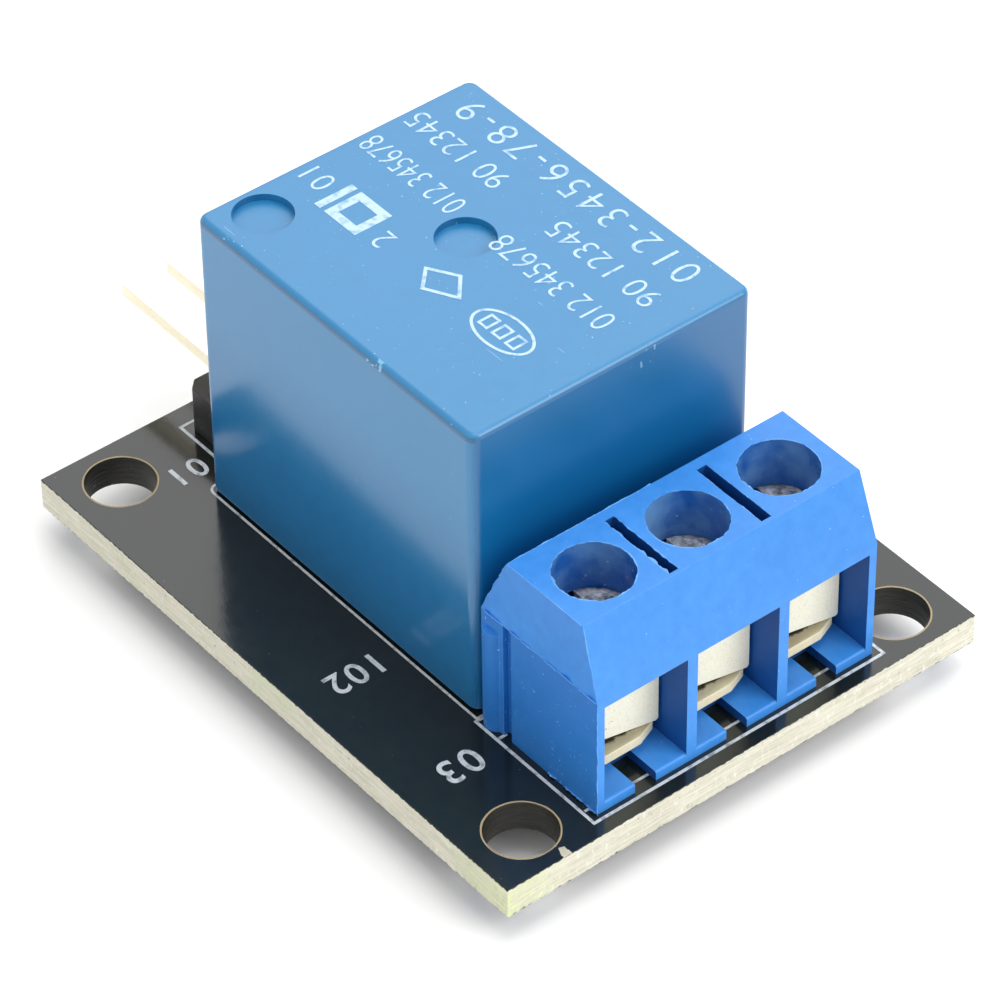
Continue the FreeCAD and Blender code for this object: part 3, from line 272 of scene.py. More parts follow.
def solder_mask(name, dark, light):
    """Dark glossy mask, with tan laminate in the rings and pale laminate in the nick."""
    material, tree, shader = new_material(name, dark, 0.2)
    coat((material, tree, shader), dark, light, 1400, 0.25, 0.05, (0.20, 0.22, 0.21), (0.11, 0.2))
    fibres = cloud(tree, place_on(tree), 3000)
    ring, nick = bare_places(tree)
    tan = mix(tree, fibres, (0.30, 0.22, 0.10), (0.50, 0.40, 0.24))
    cream = mix(tree, fibres, (0.34, 0.31, 0.22), (0.72, 0.69, 0.55))
    colour = mix(tree, ring, so_far(shader["Base Color"]), tan)
    tree.links.new(mix(tree, nick, colour, cream), shader["Base Color"])
    bare = maths(tree, "MAXIMUM", ring, nick)
    tree.links.new(between(tree, bare, so_far(shader["Roughness"]), 0.7), shader["Roughness"])
    shader["IOR"].default_value = 1.6
    return material


# The mask is a thin dark line at the top and the bottom of the edge, which is greener at one corner
MASK_START = 0.765 * MM
GREEN_START, GREEN_END = 26.0 * MM, 29.8 * MM


def bare_laminate():
    """Pale glass cloth in resin, cut across: layers along the edge, broken by fibres and nicks."""
    material, tree, shader = new_material("laminate_edge", (0.74, 0.71, 0.58), 0.75)
    place = place_on(tree)
    layers = cloud(tree, place_on(tree, (0.35, 0.35, 6.0)), 1500, 5.0, 0.7)
    fibres = cloud(tree, place_on(tree, (1.0, 1.0, 0.5)), 3800, 3.0, 0.7)
    patches = cloud(tree, place, 260, 2.0)
    colour = mix(tree, spread(tree, layers, 0.38, 0.62), (0.60, 0.58, 0.45), (0.80, 0.77, 0.65))
    colour = mix(tree, spread(tree, fibres, 0.58, 0.75), colour, (0.90, 0.89, 0.81))
    colour = mix(tree, spread(tree, fibres, 0.36, 0.27), colour, (0.33, 0.31, 0.23))
    colour = mix(tree, spread(tree, patches, 0.55, 0.75, 0.0, 0.35), colour, (0.55, 0.66, 0.36))
    x, y, z = add_node(tree, "SeparateXYZ", {0: place})
    corner = spread(tree, maths(tree, "SUBTRACT", x, y), GREEN_START, GREEN_END)
    corner = times(tree, corner, spread(tree, fibres, 0.35, 0.6, 0.0, 0.6))
    colour = mix(tree, corner, colour, (0.72, 0.84, 0.36))
    ragged = times(tree, maths(tree, "SUBTRACT", fibres, 0.5), 0.3 * MM)
    level = maths(tree, "SUBTRACT", maths(tree, "ADD", z, ragged), BOARD_TOP / 2)
    in_mask = maths(tree, "GREATER_THAN", maths(tree, "ABSOLUTE", level), MASK_START)
    tree.links.new(mix(tree, in_mask, colour, (0.03, 0.04, 0.04)), shader["Base Color"])
    height = maths(tree, "ADD", layers, fibres)
    bump = add_node(tree, "Bump", {"Height": height, "Strength": 0.7, "Distance": 0.08 * MM})
    tree.links.new(bump[0], shader["Normal"])
    return material


def drilled_wall():
    """The wall of a drilled hole: far darker than the cut edge, with torn fibres and pale flecks."""
    material, tree, shader = new_material("drilled_wall", (0.05, 0.045, 0.03), 0.35)
    rings = cloud(tree, place_on(tree, (0.5, 0.5, 5.0)), 1400, 4.0, 0.7)
    flecks = cloud(tree, place_on(tree), 3200, 3.0, 0.7)
    colour = mix(tree, spread(tree, rings, 0.38, 0.66), (0.004, 0.004, 0.003), (0.032, 0.029, 0.018))
    colour = mix(tree, spread(tree, flecks, 0.68, 0.78), colour, (0.55, 0.54, 0.48))
    tree.links.new(colour, shader["Base Color"])
    inputs = {"Height": rings, "Strength": 0.6, "Distance": 0.06 * MM}
    tree.links.new(add_node(tree, "Bump", inputs)[0], shader["Normal"])
    return material


MASK = solder_mask("solder_mask", (0.006, 0.008, 0.007), (0.011, 0.015, 0.012))
panel = solid_copy("circuit_board")
edge_x, edge_y = (max(abs(vert.co[i]) for vert in panel.verts) for i in (0, 1))
for face in panel.faces:
    middle = face.calc_center_median()
    on_edge = edge_x - abs(middle.x) < 0.1 * MM or edge_y - abs(middle.y) < 0.1 * MM
    face.material_index = 0 if abs(face.normal.z) > 0.5 else 1 if on_edge else 2
materials = [MASK, bare_laminate(), drilled_wall()]
set_piece(panel, "board_panel", "board", materials, ["circuit_board"], edge=0.03)

# Printing on the board
# White ink screened on the mask: the outlines of the parts and plain numbers beside them.
# It is one thin layer, slightly raised.

INK_LIFT = 0.015 * MM


def add_line(mesh, start, end, width=0.15, level=BOARD_TOP):
    """A printed line between two points, in millimetres."""
    start, end = Vector((*start, 0)) * MM, Vector((*end, 0)) * MM
    run = end - start
    made = bmesh.ops.create_cube(mesh, size=1)["verts"]
    size = Matrix.Diagonal((run.length, width * MM, INK_LIFT, 1))
    turn = Matrix.Rotation(math.atan2(run.y, run.x), 4, "Z")
    middle = (start + end) / 2 + Vector((0, 0, level + INK_LIFT / 2))
    bmesh.ops.transform(mesh, matrix=Matrix.Translation(middle) @ turn @ size, verts=made)


def add_outline(mesh, corners, width=0.15, level=BOARD_TOP, lift=INK_LIFT, closed=True):
    """A line through corners in millimetres, mitred at each of them, and closed or with two ends."""
    points = [Vector(corner) for corner in corners]
    count = len(points)
    sides = []
    for i, here in enumerate(points):
        first = (here - points[i - 1]).normalized()
        second = (points[(i + 1) % count] - here).normalized()
        if not closed and i == 0:
            first = second
        if not closed and i == count - 1:
            second = first
        out = Vector((first.y + second.y, -first.x - second.x))
        out *= width / (1 + first.dot(second)) / 2
        sides.append([(here + out * side) * MM for side in (-1, 1)])
    rows = [[mesh.verts.new((*point, level + rise)) for point in pair]
            for rise in (0, lift) for pair in sides]
    if not closed:
        for low, high in ((rows[0], rows[count]), (rows[count - 1], rows[-1])):
            mesh.faces.new((low[0], low[1], high[1], high[0]))
    for i in range(count if closed else count - 1):
        j = (i + 1) % count
        low, low_next, high, high_next = rows[i], rows[j], rows[count + i], rows[count + j]
        faces = [(high[0], high_next[0], high_next[1], high[1]), (low[0], low[1], low_next[1], low_next[0])]
        faces += [(low[0], low_next[0], high_next[0], high[0]), (low[1], high[1], high_next[1], low_next[1])]
        for face in faces:
            mesh.faces.new(face)
    bmesh.ops.recalc_face_normals(mesh, faces=mesh.faces)


def add_box(mesh, low, high, **style):
    """A rectangular outline between two opposite corners, in millimetres."""
    add_outline(mesh, [low, (high[0], low[1]), high, (low[0], high[1])], **style)


def arc(x, y, across, along, start, end, steps):
    """Points on a part of an ellipse round a middle, from one angle to another in degrees."""
    angles = [math.radians(start + (end - start) * i / steps) for i in range(steps + 1)]
    return [(x + across * math.cos(angle), y + along * math.sin(angle)) for angle in angles]


# The height of a digit of the built-in font, and how far its strokes are thinned
DIGIT_HEIGHT, THINNED = 0.7, -0.012


def add_words(mesh, words, place, height, level, turn, span=0.0, offset=THINNED):
    """Printed characters centred on a point in millimetres, spaced out to a span when one is given."""
    curve = bpy.data.curves.new("print", "FONT")
    curve.body = words
    curve.align_x, curve.align_y = "CENTER", "CENTER"
    curve.extrude = 0.5
    curve.offset = offset
    letters = bpy.data.objects.new("print", curve)
    bpy.context.scene.collection.objects.link(letters)
    scale = height / DIGIT_HEIGHT
    widths = []
    for spacing in (2.0, 1.0):
        curve.space_character = spacing
        bpy.context.view_layer.update()
        widths.append(letters.dimensions.x * scale)
    stretch = 1.0
    if span and span > widths[1]:
        curve.space_character = 1 + (span - widths[1]) / (widths[0] - widths[1])
        bpy.context.view_layer.update()
    elif span:
        stretch = span / widths[1]
    flat = bpy.data.meshes.new_from_object(letters)
    bpy.data.objects.remove(letters)
    bpy.data.curves.remove(curve)
    size = Matrix.Diagonal((scale * MM * stretch, scale * MM, INK_LIFT, 1))
    move = Matrix.Translation(Vector((place[0] * MM, place[1] * MM, level + INK_LIFT / 2)))
    flat.transform(move @ Matrix.Rotation(math.radians(turn), 4, "Z") @ size)
    mesh.from_mesh(flat)
    bpy.data.meshes.remove(flat)


def white_ink(name, thin, full):
    """White ink that lets the ground show through where it is thin."""
    material, tree, shader = new_material(name, full, 0.55)
    patches = cloud(tree, place_on(tree), 2600, 3.0)
    tree.links.new(mix(tree, spread(tree, patches, 0.32, 0.5), thin, full), shader["Base Color"])
    return material


# The driver parts stand in one row behind the relay, numbered in this order
ROW_Y = 10.6
DRIVER_X = {"base_resistor": -11.2, "driver_transistor": -7.6, "flyback_diode": -1.6,
            "lamp_resistor": 3.4, "indicator_lamp": 6.9}

INK = white_ink("board_ink", (0.26, 0.28, 0.29), (0.62, 0.66, 0.68))
marks = bmesh.new()

# Round the terminal block, the relay and the header
add_box(marks, (7.98, -7.84), (15.9, 8.44))
add_line(marks, (9.41, -7.76), (9.41, -7.3))
add_line(marks, (15.1, -7.7), (15.1, 8.3), width=0.13)
relay_outline = [(7.85, -7.7), (7.85, 7.7)]
relay_outline += arc(-10.95, 7.3, 0.4, 0.4, 90, 180, 4) + arc(-10.95, -7.3, 0.4, 0.4, 180, 270, 4)
add_outline(marks, relay_outline, width=0.12, lift=0.9 * INK_LIFT)
add_box(marks, (-15.5, -6.17), (-12.75, 2.15))

# Round the driver parts, with a bar at the lamp's end
for node, half_x, half_y in (
    ("base_resistor", 1.3, 0.95), ("flyback_diode", 2.9, 1.65), ("lamp_resistor", 1.3, 0.95),
    ("indicator_lamp", 1.3, 0.95), ("driver_transistor", 1.75, 1.6),
):
    x = DRIVER_X[node]
    add_box(marks, (x - half_x, ROW_Y - half_y), (x + half_x, ROW_Y + half_y), width=0.13)
add_line(marks, (8.45, 9.7), (8.45, 11.5))

for words, place, height, span in (
    ("01", (-12.9, -7.75), 1.25, 1.6), ("102", (2.3, -9.95), 1.3, 2.6), ("03", (9.6, -10.05), 1.4, 2.0),
):
    add_words(marks, words, place, height, BOARD_TOP, -90, span=span, offset=0.01)
for number, x in enumerate(DRIVER_X.values(), start=4):
    add_words(marks, str(number), (x, 8.45), 1.0, BOARD_TOP, 0)
set_piece(marks, "board_print", "board", [INK])

# Copper on the underside
# Tracks that join the leads, etched from the copper foil on the laminate. They lie under the mask
# and show as raised bands.

HEADER_PLACES = [(-14.15, -4.53), (-14.15, -1.99), (-14.15, 0.55)]
SCREW_PLACES = [(12.18, -4.78), (12.18, 0.30), (12.18, 5.38)]
RELAY_PLACES = [(-7.4, -6.0), (-7.4, 6.0), (4.8, -6.0), (4.8, 6.0), (-9.4, 0.0)]

# Each track's width and its route, in millimetres
TRACKS = [
    (2.4, [SCREW_PLACES[0], (8.6, -7.9), (4.8, -7.9), RELAY_PLACES[2]]),
    (2.6, [SCREW_PLACES[1], (6.0, 0.3), RELAY_PLACES[4]]),
    (2.4, [SCREW_PLACES[2], (8.2, 8.2), (4.8, 8.2), RELAY_PLACES[3]]),
    (0.7, [HEADER_PLACES[0], (-11.5, -6.0), RELAY_PLACES[0]]),
    (0.7, [HEADER_PLACES[1], (-12.2, -1.99), (-12.2, 7.6), (-9.0, 7.6), RELAY_PLACES[1]]),
    (0.5, [HEADER_PLACES[2], (-15.4, 1.8), (-15.4, 6.0), (-10.8, 10.6), (3.0, 10.6)]),
]
TRACK_LIFT = -0.03 * MM
COVERED = solder_mask("masked_copper", (0.018, 0.030, 0.030), (0.03, 0.045, 0.042))
copper = bmesh.new()
for width, route in TRACKS:
    add_outline(copper, route, width=width, level=0, lift=TRACK_LIFT, closed=False)
set_piece(copper, "copper_tracks", "board", [COVERED], edge=0.02)

# Solder joints
# Tin solder wets each pad and climbs its lead in a hollow cone. The trimmed lead stands out of it.


def bright_metal(name, dark, light, rough, scale=900.0, depth=0.3, stretch=(1, 1, 1)):
    """A metal with fine marks: a tone that drifts, and a gloss that breaks up."""
    material, tree, shader = new_material(name, light, rough[0], 1.0)
    place = place_on(tree, stretch)
    fine_marks = cloud(tree, place, scale * 3, 4.0, 0.7)
    tone = cloud(tree, place, scale, 4.0, 0.6)
    tree.links.new(mix(tree, spread(tree, tone, 0.35, 0.65), dark, light), shader["Base Color"])
    tree.links.new(spread(tree, fine_marks, 0.3, 0.7, *rough), shader["Roughness"])
    inputs = {"Height": maths(tree, "ADD", fine_marks, tone), "Strength": depth, "Distance": 0.02 * MM}
    tree.links.new(add_node(tree, "Bump", inputs)[0], shader["Normal"])
    return material


def close_holes(mesh):
    """Fills every open rim with a face."""
    bmesh.ops.holes_fill(mesh, edges=[edge for edge in mesh.edges if edge.is_boundary], sides=0)


SOLDER = bright_metal("tin_solder", (0.50, 0.51, 0.52), (0.80, 0.81, 0.82), (0.16, 0.34), 600)

# Half of a joint's outline in millimetres: how far it stands from its axis, and its height
PROFILE = [(1.2, 0.0), (1.18, -0.05), (0.92, -0.16), (0.72, -0.42), (0.6, -0.75), (0.5, -1.0), (0.3, -1.1)]
UNEVEN = 0.06 * MM
# Without a seed, noise_vector draws its offsets from the clock
noise.seed_set(5)
for name, places in (("header", HEADER_PLACES), ("terminal", SCREW_PLACES), ("relay", RELAY_PLACES)):
    joints = bmesh.new()
    for x, y in places:
        line = [joints.verts.new(Vector((x + r, y, z)) * MM) for r, z in PROFILE]
        edges = [joints.edges.new(pair) for pair in zip(line, line[1:])]
        centre = Vector((x, y, 0)) * MM
        bmesh.ops.spin(
            joints, geom=line + edges, cent=centre, axis=(0, 0, 1), angle=math.tau, steps=32, use_merge=True
        )
    bmesh.ops.remove_doubles(joints, verts=joints.verts, dist=0.001 * MM)
    close_holes(joints)
    for vert in joints.verts:
        if vert.co.z < -0.1 * MM:
            vert.co.xy += noise.noise_vector(vert.co * 900).xy * UNEVEN
    bmesh.ops.recalc_face_normals(joints, faces=joints.faces)
    set_piece(joints, name + "_joints", "board", [SOLDER], [name + "_solder"])

# Header
# A black moulded strip, notched between its three places, on thin gilt pins that bend over the
# edge of the board. The pins are cut from square wire, with their ends pressed to a point.

BLACK = coat(new_material("header_black", (0.02, 0.02, 0.02), 0.5), (0.014, 0.014, 0.015),
             (0.03, 0.03, 0.032), 1800, 0.5, 0.2, (0.4, 0.4, 0.4), (0.35, 0.55))
GILT = bright_metal("gilt_pin", (0.80, 0.72, 0.52), (0.94, 0.88, 0.70), (0.2, 0.38), 700, 0.25, (0.2, 1, 1))
set_piece(
    solid_copy("header_block"), "header_strip", "board", [BLACK], ["header_block"], edge=0.05
)
for number in (1, 2, 3):
    name = f"header_pin_{number}"
    set_piece(solid_copy(name), f"header_wire_{number}", "board", [GILT], [name], 0.03)

# Inside the relay
# A coil on a white bobbin pulls an iron plate, which carries a bronze leaf between two contacts.
# All of it is closed in by the cover and the base, so these keep the solids' own shapes.

IRON = bright_metal("relay_iron", (0.42, 0.41, 0.38), (0.66, 0.65, 0.61), (0.28, 0.45), 500)
BRONZE = bright_metal("leaf_bronze", (0.62, 0.40, 0.20), (0.80, 0.56, 0.32), (0.22, 0.4), 700, 0.2,
                      (0.15, 1, 1))
COPPER = bright_metal("contact_copper", (0.60, 0.34, 0.20), (0.80, 0.52, 0.36), (0.25, 0.42), 700)
SILVER = bright_metal("contact_silver", (0.72, 0.71, 0.68), (0.88, 0.87, 0.85), (0.2, 0.32), 900)
TINNED = bright_metal("tinned_lead", (0.55, 0.55, 0.54), (0.80, 0.80, 0.79), (0.22, 0.4), 800)
NYLON = coat(new_material("bobbin_nylon", (0.7, 0.68, 0.6), 0.5), (0.62, 0.60, 0.52),
             (0.76, 0.74, 0.66), 1500, 0.4, 0, None, (0.35, 0.5))
RESIN = coat(new_material("base_resin", (0.03, 0.03, 0.035), 0.5), (0.018, 0.019, 0.022),
             (0.04, 0.042, 0.047), 1500, 0.6, 0.2, (0.3, 0.3, 0.3), (0.3, 0.6))


def enamelled_wire():
    """Turns of thin wire laid side by side, so the coil is ribbed round its axis."""
    material, tree, shader = new_material("enamelled_wire", (0.5, 0.16, 0.05), 0.3, 0.85)
    bands = add_node(tree, "TexWave", {"Vector": place_on(tree), "Scale": 2600, "Distortion": 0.6,
                                       "Detail": 2.0}, bands_direction="Z")["Fac"]
    tree.links.new(mix(tree, bands, (0.24, 0.06, 0.02), (0.66, 0.25, 0.09)), shader["Base Color"])
    bump = add_node(tree, "Bump", {"Height": bands, "Strength": 0.8, "Distance": 0.03 * MM})
    tree.links.new(bump[0], shader["Normal"])
    return material


inner_finish = {
    "relay_base": RESIN, "relay_yoke": IRON, "coil_core": IRON, "armature": IRON,
    "coil_bobbin": NYLON, "coil_winding": enamelled_wire(),
    "coil_pin_1": TINNED, "coil_pin_2": TINNED, "common_pin": TINNED,
    "moving_contact": SILVER, "closed_contact": COPPER, "open_contact": COPPER,
}
for name, material in inner_finish.items():
    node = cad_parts[name]
    node.data.materials.clear()
    node.data.materials.append(material)


def cut_across(mesh, level, clear_below=False):
    """Cuts a mesh at a height, and clears what lies below when asked."""
    everything = list(mesh.verts) + list(mesh.edges) + list(mesh.faces)
    bmesh.ops.bisect_plane(mesh, geom=everything, plane_co=(0, 0, level), plane_no=(0, 0, 1),
                           clear_inner=clear_below)


# The leaf's foot is fixed to the yoke, and in the relay its upright part bends as the armature rocks.
# Here the upright part is only cut across into slices, and the piece does not bend.
LEAF_X, LEAF_FOOT, LEAF_BEND = -10.2 * MM, 8.9 * MM, 14.1 * MM
LEAF_CUTS = 12
leaf = solid_copy("contact_spring")
for step in range(1, LEAF_CUTS):
    cut_across(leaf, LEAF_FOOT + (LEAF_BEND - LEAF_FOOT) * step / LEAF_CUTS)
bend = ("board", "armature", (LEAF_X, 0, LEAF_FOOT), (LEAF_X, 0, LEAF_BEND))
set_piece(leaf, "contact_leaf", bend, [BRONZE], ["contact_spring"])

# Relay cover
# A thin blue moulding with rounded edges, glossy on its sides and dull on its roof. The two round
# marks in the roof are left by the mould. The print is white ink: plain numbers and shapes.

RELAY_ROOF = 17.35 * MM
RELAY_SIDE = 7.5 * MM


def near(tree, value, middle, reach):
    """1 where a value lies within reach of a middle."""
    away = maths(tree, "ABSOLUTE", maths(tree, "SUBTRACT", value, middle))
    return maths(tree, "LESS_THAN", away, reach)


def roof_colour(tree):
    """The dull roof, with fine scratches where it is worn, and dust."""
    mottle = cloud(tree, place_on(tree), 1300, 3.0)
    roof = mix(tree, mottle, (0.008, 0.188, 0.425), (0.018, 0.218, 0.47))
    lines = cloud(tree, place_on(tree, (0.1, 1.6, 1.0)), 1900, 2.0, 0.5)
    worn = cloud(tree, place_on(tree), 150, 2.0)
    scratches = times(tree, maths(tree, "GREATER_THAN", lines, 0.72), maths(tree, "GREATER_THAN", worn, 0.54))
    roof = mix(tree, times(tree, scratches, 0.5), roof, (0.35, 0.52, 0.7))
    specks = use_group(tree, DUST, Amount=0.17)["Mask"]
    return mix(tree, times(tree, specks, 0.7), roof, (0.5, 0.68, 0.82))


# The long edge of the roof is chipped most round one place, and the short face is scuffed in another
EDGE_HALF_WIDTH, EDGE_HEIGHT = 0.14 * MM, 0.4 * MM
CHIP_X, CHIP_REACH = 1.2 * MM, 0.5 * MM
SCUFF_Y, SCUFF_Z = 1.6 * MM, 16.7 * MM
SCUFF_HALF_WIDTH, SCUFF_HALF_HEIGHT = 0.7 * MM, 0.45 * MM


def relay_plastic():
    """Glossy on upright faces and dull on the roof, with a chipped edge and a scuff. The upright faces carry
    painted shade and a painted reflection.
    """
    material, tree, shader = new_material("relay_blue", (0.03, 0.24, 0.5), 0.3)
    # Painted shade: the upright faces' blues are darker than the roof's
    coat((material, tree, shader), (0.010, 0.142, 0.335), (0.015, 0.160, 0.37), 1300, 0.12, 0.04,
         (0.35, 0.52, 0.66), (0.15, 0.2))
    x, y, z = add_node(tree, "SeparateXYZ", {0: place_on(tree)})
    facing = add_node(tree, "SeparateXYZ", {0: add_node(tree, "TexCoord")["Normal"]})
    on_short_face = spread(tree, facing[0], 0.5, 0.9)
    on_roof = spread(tree, facing[2], 0.5, 0.9)
    # Painted reflection: the upright faces turn a paler blue towards the roof
    painted_reflection = spread(tree, z, 6.0 * MM, 13.0 * MM, 0.0, 0.3)
    side = mix(tree, painted_reflection, so_far(shader["Base Color"]), (0.02, 0.34, 0.66))
    # Painted shade: the short faces take a darker blue still
    side = mix(tree, on_short_face, side, (0.002, 0.120, 0.298))
    colour = mix(tree, on_roof, side, roof_colour(tree))

    # The long edge has painted shade in its crease, and is pale where it is chipped
    high = maths(tree, "GREATER_THAN", z, RELAY_ROOF - EDGE_HEIGHT)
    edge = times(tree, near(tree, y, -RELAY_SIDE, EDGE_HALF_WIDTH), high)
    crease = times(tree, edge, maths(tree, "LESS_THAN", facing[2], 0.45), 0.55)
    colour = mix(tree, crease, colour, (0.004, 0.05, 0.14))
    wear = cloud(tree, place_on(tree), 2100, 2.0)
    whole = maths(tree, "SUBTRACT", 0.72, times(tree, near(tree, x, CHIP_X, CHIP_REACH), 0.19))
    chips = times(tree, edge, maths(tree, "GREATER_THAN", wear, whole))
    colour = mix(tree, chips, colour, (0.2, 0.46, 0.68))

    scrapes = maths(tree, "GREATER_THAN", cloud(tree, place_on(tree, (1.0, 1.0, 0.35)), 5200, 2.0), 0.62)
    scuffed = times(tree, near(tree, y, SCUFF_Y, SCUFF_HALF_WIDTH), near(tree, z, SCUFF_Z, SCUFF_HALF_HEIGHT))
    colour = mix(tree, times(tree, scuffed, on_short_face, scrapes, 0.5), colour, (0.3, 0.5, 0.7))
    tree.links.new(colour, shader["Base Color"])

    gloss = so_far(shader["Roughness"])
    side_gloss = maths(tree, "ADD", gloss, times(tree, on_short_face, 0.16))
    roof_gloss = maths(tree, "ADD", gloss, 0.2)
    tree.links.new(between(tree, on_roof, side_gloss, roof_gloss), shader["Roughness"])
    shader["IOR"].default_value = 1.7
    return material


RELAY_BLUE = relay_plastic()
set_piece(solid_copy("relay_case"), "relay_cover", "board", [RELAY_BLUE], ["relay_case"])

RELAY_INK = white_ink("relay_ink", (0.23, 0.43, 0.67), (0.50, 0.68, 0.84))
label = bmesh.new()
for words, x, y, height, span in (
    ("012 345678", 2.0, 1.4, 1.25, 7.4), ("012 345678", -7.5, 1.4, 1.25, 6.3),
    ("90 12345", 2.45, 3.85, 1.25, 6.7), ("90 12345", -7.6, 3.95, 1.25, 6.2),
    ("012-3456-78-9", -2.1, 6.15, 1.5, 15.4), ("01", -10.0, -1.95, 1.2, 1.4), ("2", -4.75, -2.35, 1.2, 0.0),
):
    add_words(label, words, (x, y), height, RELAY_ROOF, 180, span=span)

# An oval with three boxes in it, a diamond, and a heavy box beside a bar
add_outline(label, arc(3.24, -2.34, 1.72, 0.97, 0, 360, 48)[:-1], width=0.14, level=RELAY_ROOF)
for x in (2.35, 3.24, 4.13):
    add_box(label, (x - 0.26, -2.7), (x + 0.26, -1.98), width=0.13, level=RELAY_ROOF)
add_outline(label, [(-1.15, -3.15), (0.35, -2.35), (-0.75, -1.4), (-2.1, -2.2)], width=0.17, level=RELAY_ROOF)
add_box(label, (-7.7, -2.95), (-6.0, -1.35), width=0.45, level=RELAY_ROOF)
add_line(label, (-8.4, -3.18), (-8.4, -1.12), width=0.4, level=RELAY_ROOF)
set_piece(label, "relay_print", "board", [RELAY_INK])

# Terminal block
# One blue moulding for three ways, with thin walls between the entries. Its rounded edges are a paler
# blue, which is a painted highlight, and thin flash in the same paler blue stands on some of them.
# The bores, the entries, the slots and the near end's face take darker blues, which are painted shade.

TERMINAL_BLUE = coat(new_material("terminal_blue", (0.035, 0.27, 0.80), 0.4), (0.027, 0.222, 0.67),
                     (0.050, 0.288, 0.80), 1500, 0.6, 0.12, (0.4, 0.62, 0.95), (0.34, 0.5))
# Painted highlight: the paler blue of the rounded edges, which the flash also wears
TERMINAL_EDGE = coat(new_material("terminal_edge", (0.12, 0.42, 0.9), 0.45), (0.03, 0.26, 0.76),
                     (0.20, 0.47, 0.90), 2400, 0.8, 0.2, (0.5, 0.72, 1.0), (0.35, 0.55))
# Painted shade: a darker, less shiny blue inside the entries and the slots
TERMINAL_INNER_SHADE = coat(new_material("terminal_inner_shade", (0.015, 0.12, 0.42), 0.45), (0.008, 0.072, 0.29),
                      (0.012, 0.098, 0.36), 1500, 0.5, 0.05, (0.2, 0.4, 0.8), (0.36, 0.5))
# Painted shade: a darker blue on the near end's face below its shoulder
TERMINAL_END_SHADE = coat(new_material("terminal_end", (0.022, 0.19, 0.6), 0.42), (0.013, 0.16, 0.53),
                    (0.019, 0.195, 0.60), 1500, 0.6, 0.2, (0.3, 0.5, 0.85), (0.36, 0.5))
shader_of(TERMINAL_INNER_SHADE.node_tree)["Specular IOR Level"].default_value = 0.15


def bore_finish():
    """The bores' walls: a darker blue as painted shade, with paler patches and a few bright specks."""
    material, tree, shader = new_material("terminal_bore", (0.04, 0.12, 0.32), 0.28)
    patchiness = cloud(tree, place_on(tree), 520, 3.0, 0.5)
    fine = cloud(tree, place_on(tree), 2600, 3.0, 0.7)
    colour = mix(tree, spread(tree, patchiness, 0.36, 0.66), (0.013, 0.12, 0.45), (0.14, 0.33, 0.62))
    colour = mix(tree, spread(tree, fine, 0.67, 0.74), colour, (0.5, 0.6, 0.75))
    tree.links.new(colour, shader["Base Color"])
    tree.links.new(spread(tree, patchiness, 0.35, 0.65, 0.16, 0.4), shader["Roughness"])
    bump = add_node(tree, "Bump", {"Height": patchiness, "Strength": 0.4, "Distance": 0.08 * MM})
    tree.links.new(bump[0], shader["Normal"])
    shader["Specular IOR Level"].default_value = 0.3
    return material


# Where the finish changes on the housing, in millimetres. Its bores, entries, slots and near end's face
# take darker blues as painted shade
SHOULDER_TOP, HOUSING_TOP, ENTRY_FRONT = 8.05, 11.54, 15.5
BORE_FLOOR, SLOT_FLOOR, ENTRY_ROOF = 8.4, 8.3, 9.0
SLOT_START, SLOT_END = 10.1, 14.26
NEAR_END, FAR_END = -7.1, 7.7
MAIN, EDGE, INNER, BORE, END = range(5)


def housing_finish(place, upright):
    """Which finish a face of the housing has, from where its middle lies."""
    x, y, z = place
    in_bore = any(math.hypot(x - bore_x, y - bore_y) < 2.0 for bore_x, bore_y in SCREW_PLACES)
    in_slot = z > SLOT_FLOOR and SLOT_START - 0.1 < x < SLOT_END + 0.09 and -2.6 < y < 3.2
    in_entry = z < ENTRY_ROOF and x < ENTRY_FRONT and NEAR_END < y < FAR_END
    if not upright:
        return MAIN
    if in_bore and z > BORE_FLOOR:
        return BORE
    if z < SHOULDER_TOP - 0.05 and y < NEAR_END:
        return END
    return INNER if in_slot or in_entry else MAIN


housing = solid_copy("terminal_housing")
for face in housing.faces:
    face.material_index = housing_finish(face.calc_center_median() / MM, abs(face.normal.z) < 0.5)
materials = [TERMINAL_BLUE, TERMINAL_EDGE, TERMINAL_INNER_SHADE, bore_finish(), TERMINAL_END_SHADE]
set_piece(
    housing, "terminal_block", "board", materials, ["terminal_housing"], edge=0.07,
    edge_material=EDGE,
)

# How deep a ribbon of flash starts inside the block
FLASH_ROOT = 0.03


def add_flash(mesh, start, end, out, wide, lift=(0, 0, 0), step=0.09, seed=0.0):
    """A ragged ribbon of thin plastic along an edge, in millimetres, that stands out of it."""
    start, end, out, lift = (Vector(item) for item in (start, end, out, lift))
    count = max(2, int((end - start).length / step))
    rows = []
    for i in range(count + 1):
        base = start.lerp(end, i / count)
        coarse = noise.noise(base * 1.7 + Vector((seed, 0, 0)))
        fine = noise.noise(base * 6.0 + Vector((0, seed, 0)))
        width = wide * max(0.0, 0.42 + 0.9 * coarse + 0.55 * fine)
        curl = lift * (0.5 + coarse) * width
        rows.append([mesh.verts.new((base - out * FLASH_ROOT) * MM),
                     mesh.verts.new((base + out * width + curl) * MM)])
    for (low, low_tip), (high, high_tip) in zip(rows, rows[1:]):
        mesh.faces.new((low, high, high_tip, low_tip))


flash = bmesh.new()
FLASH_LEVEL = HOUSING_TOP - 0.02
END_FACE = -7.44
BORE_RADIUS = 1.83

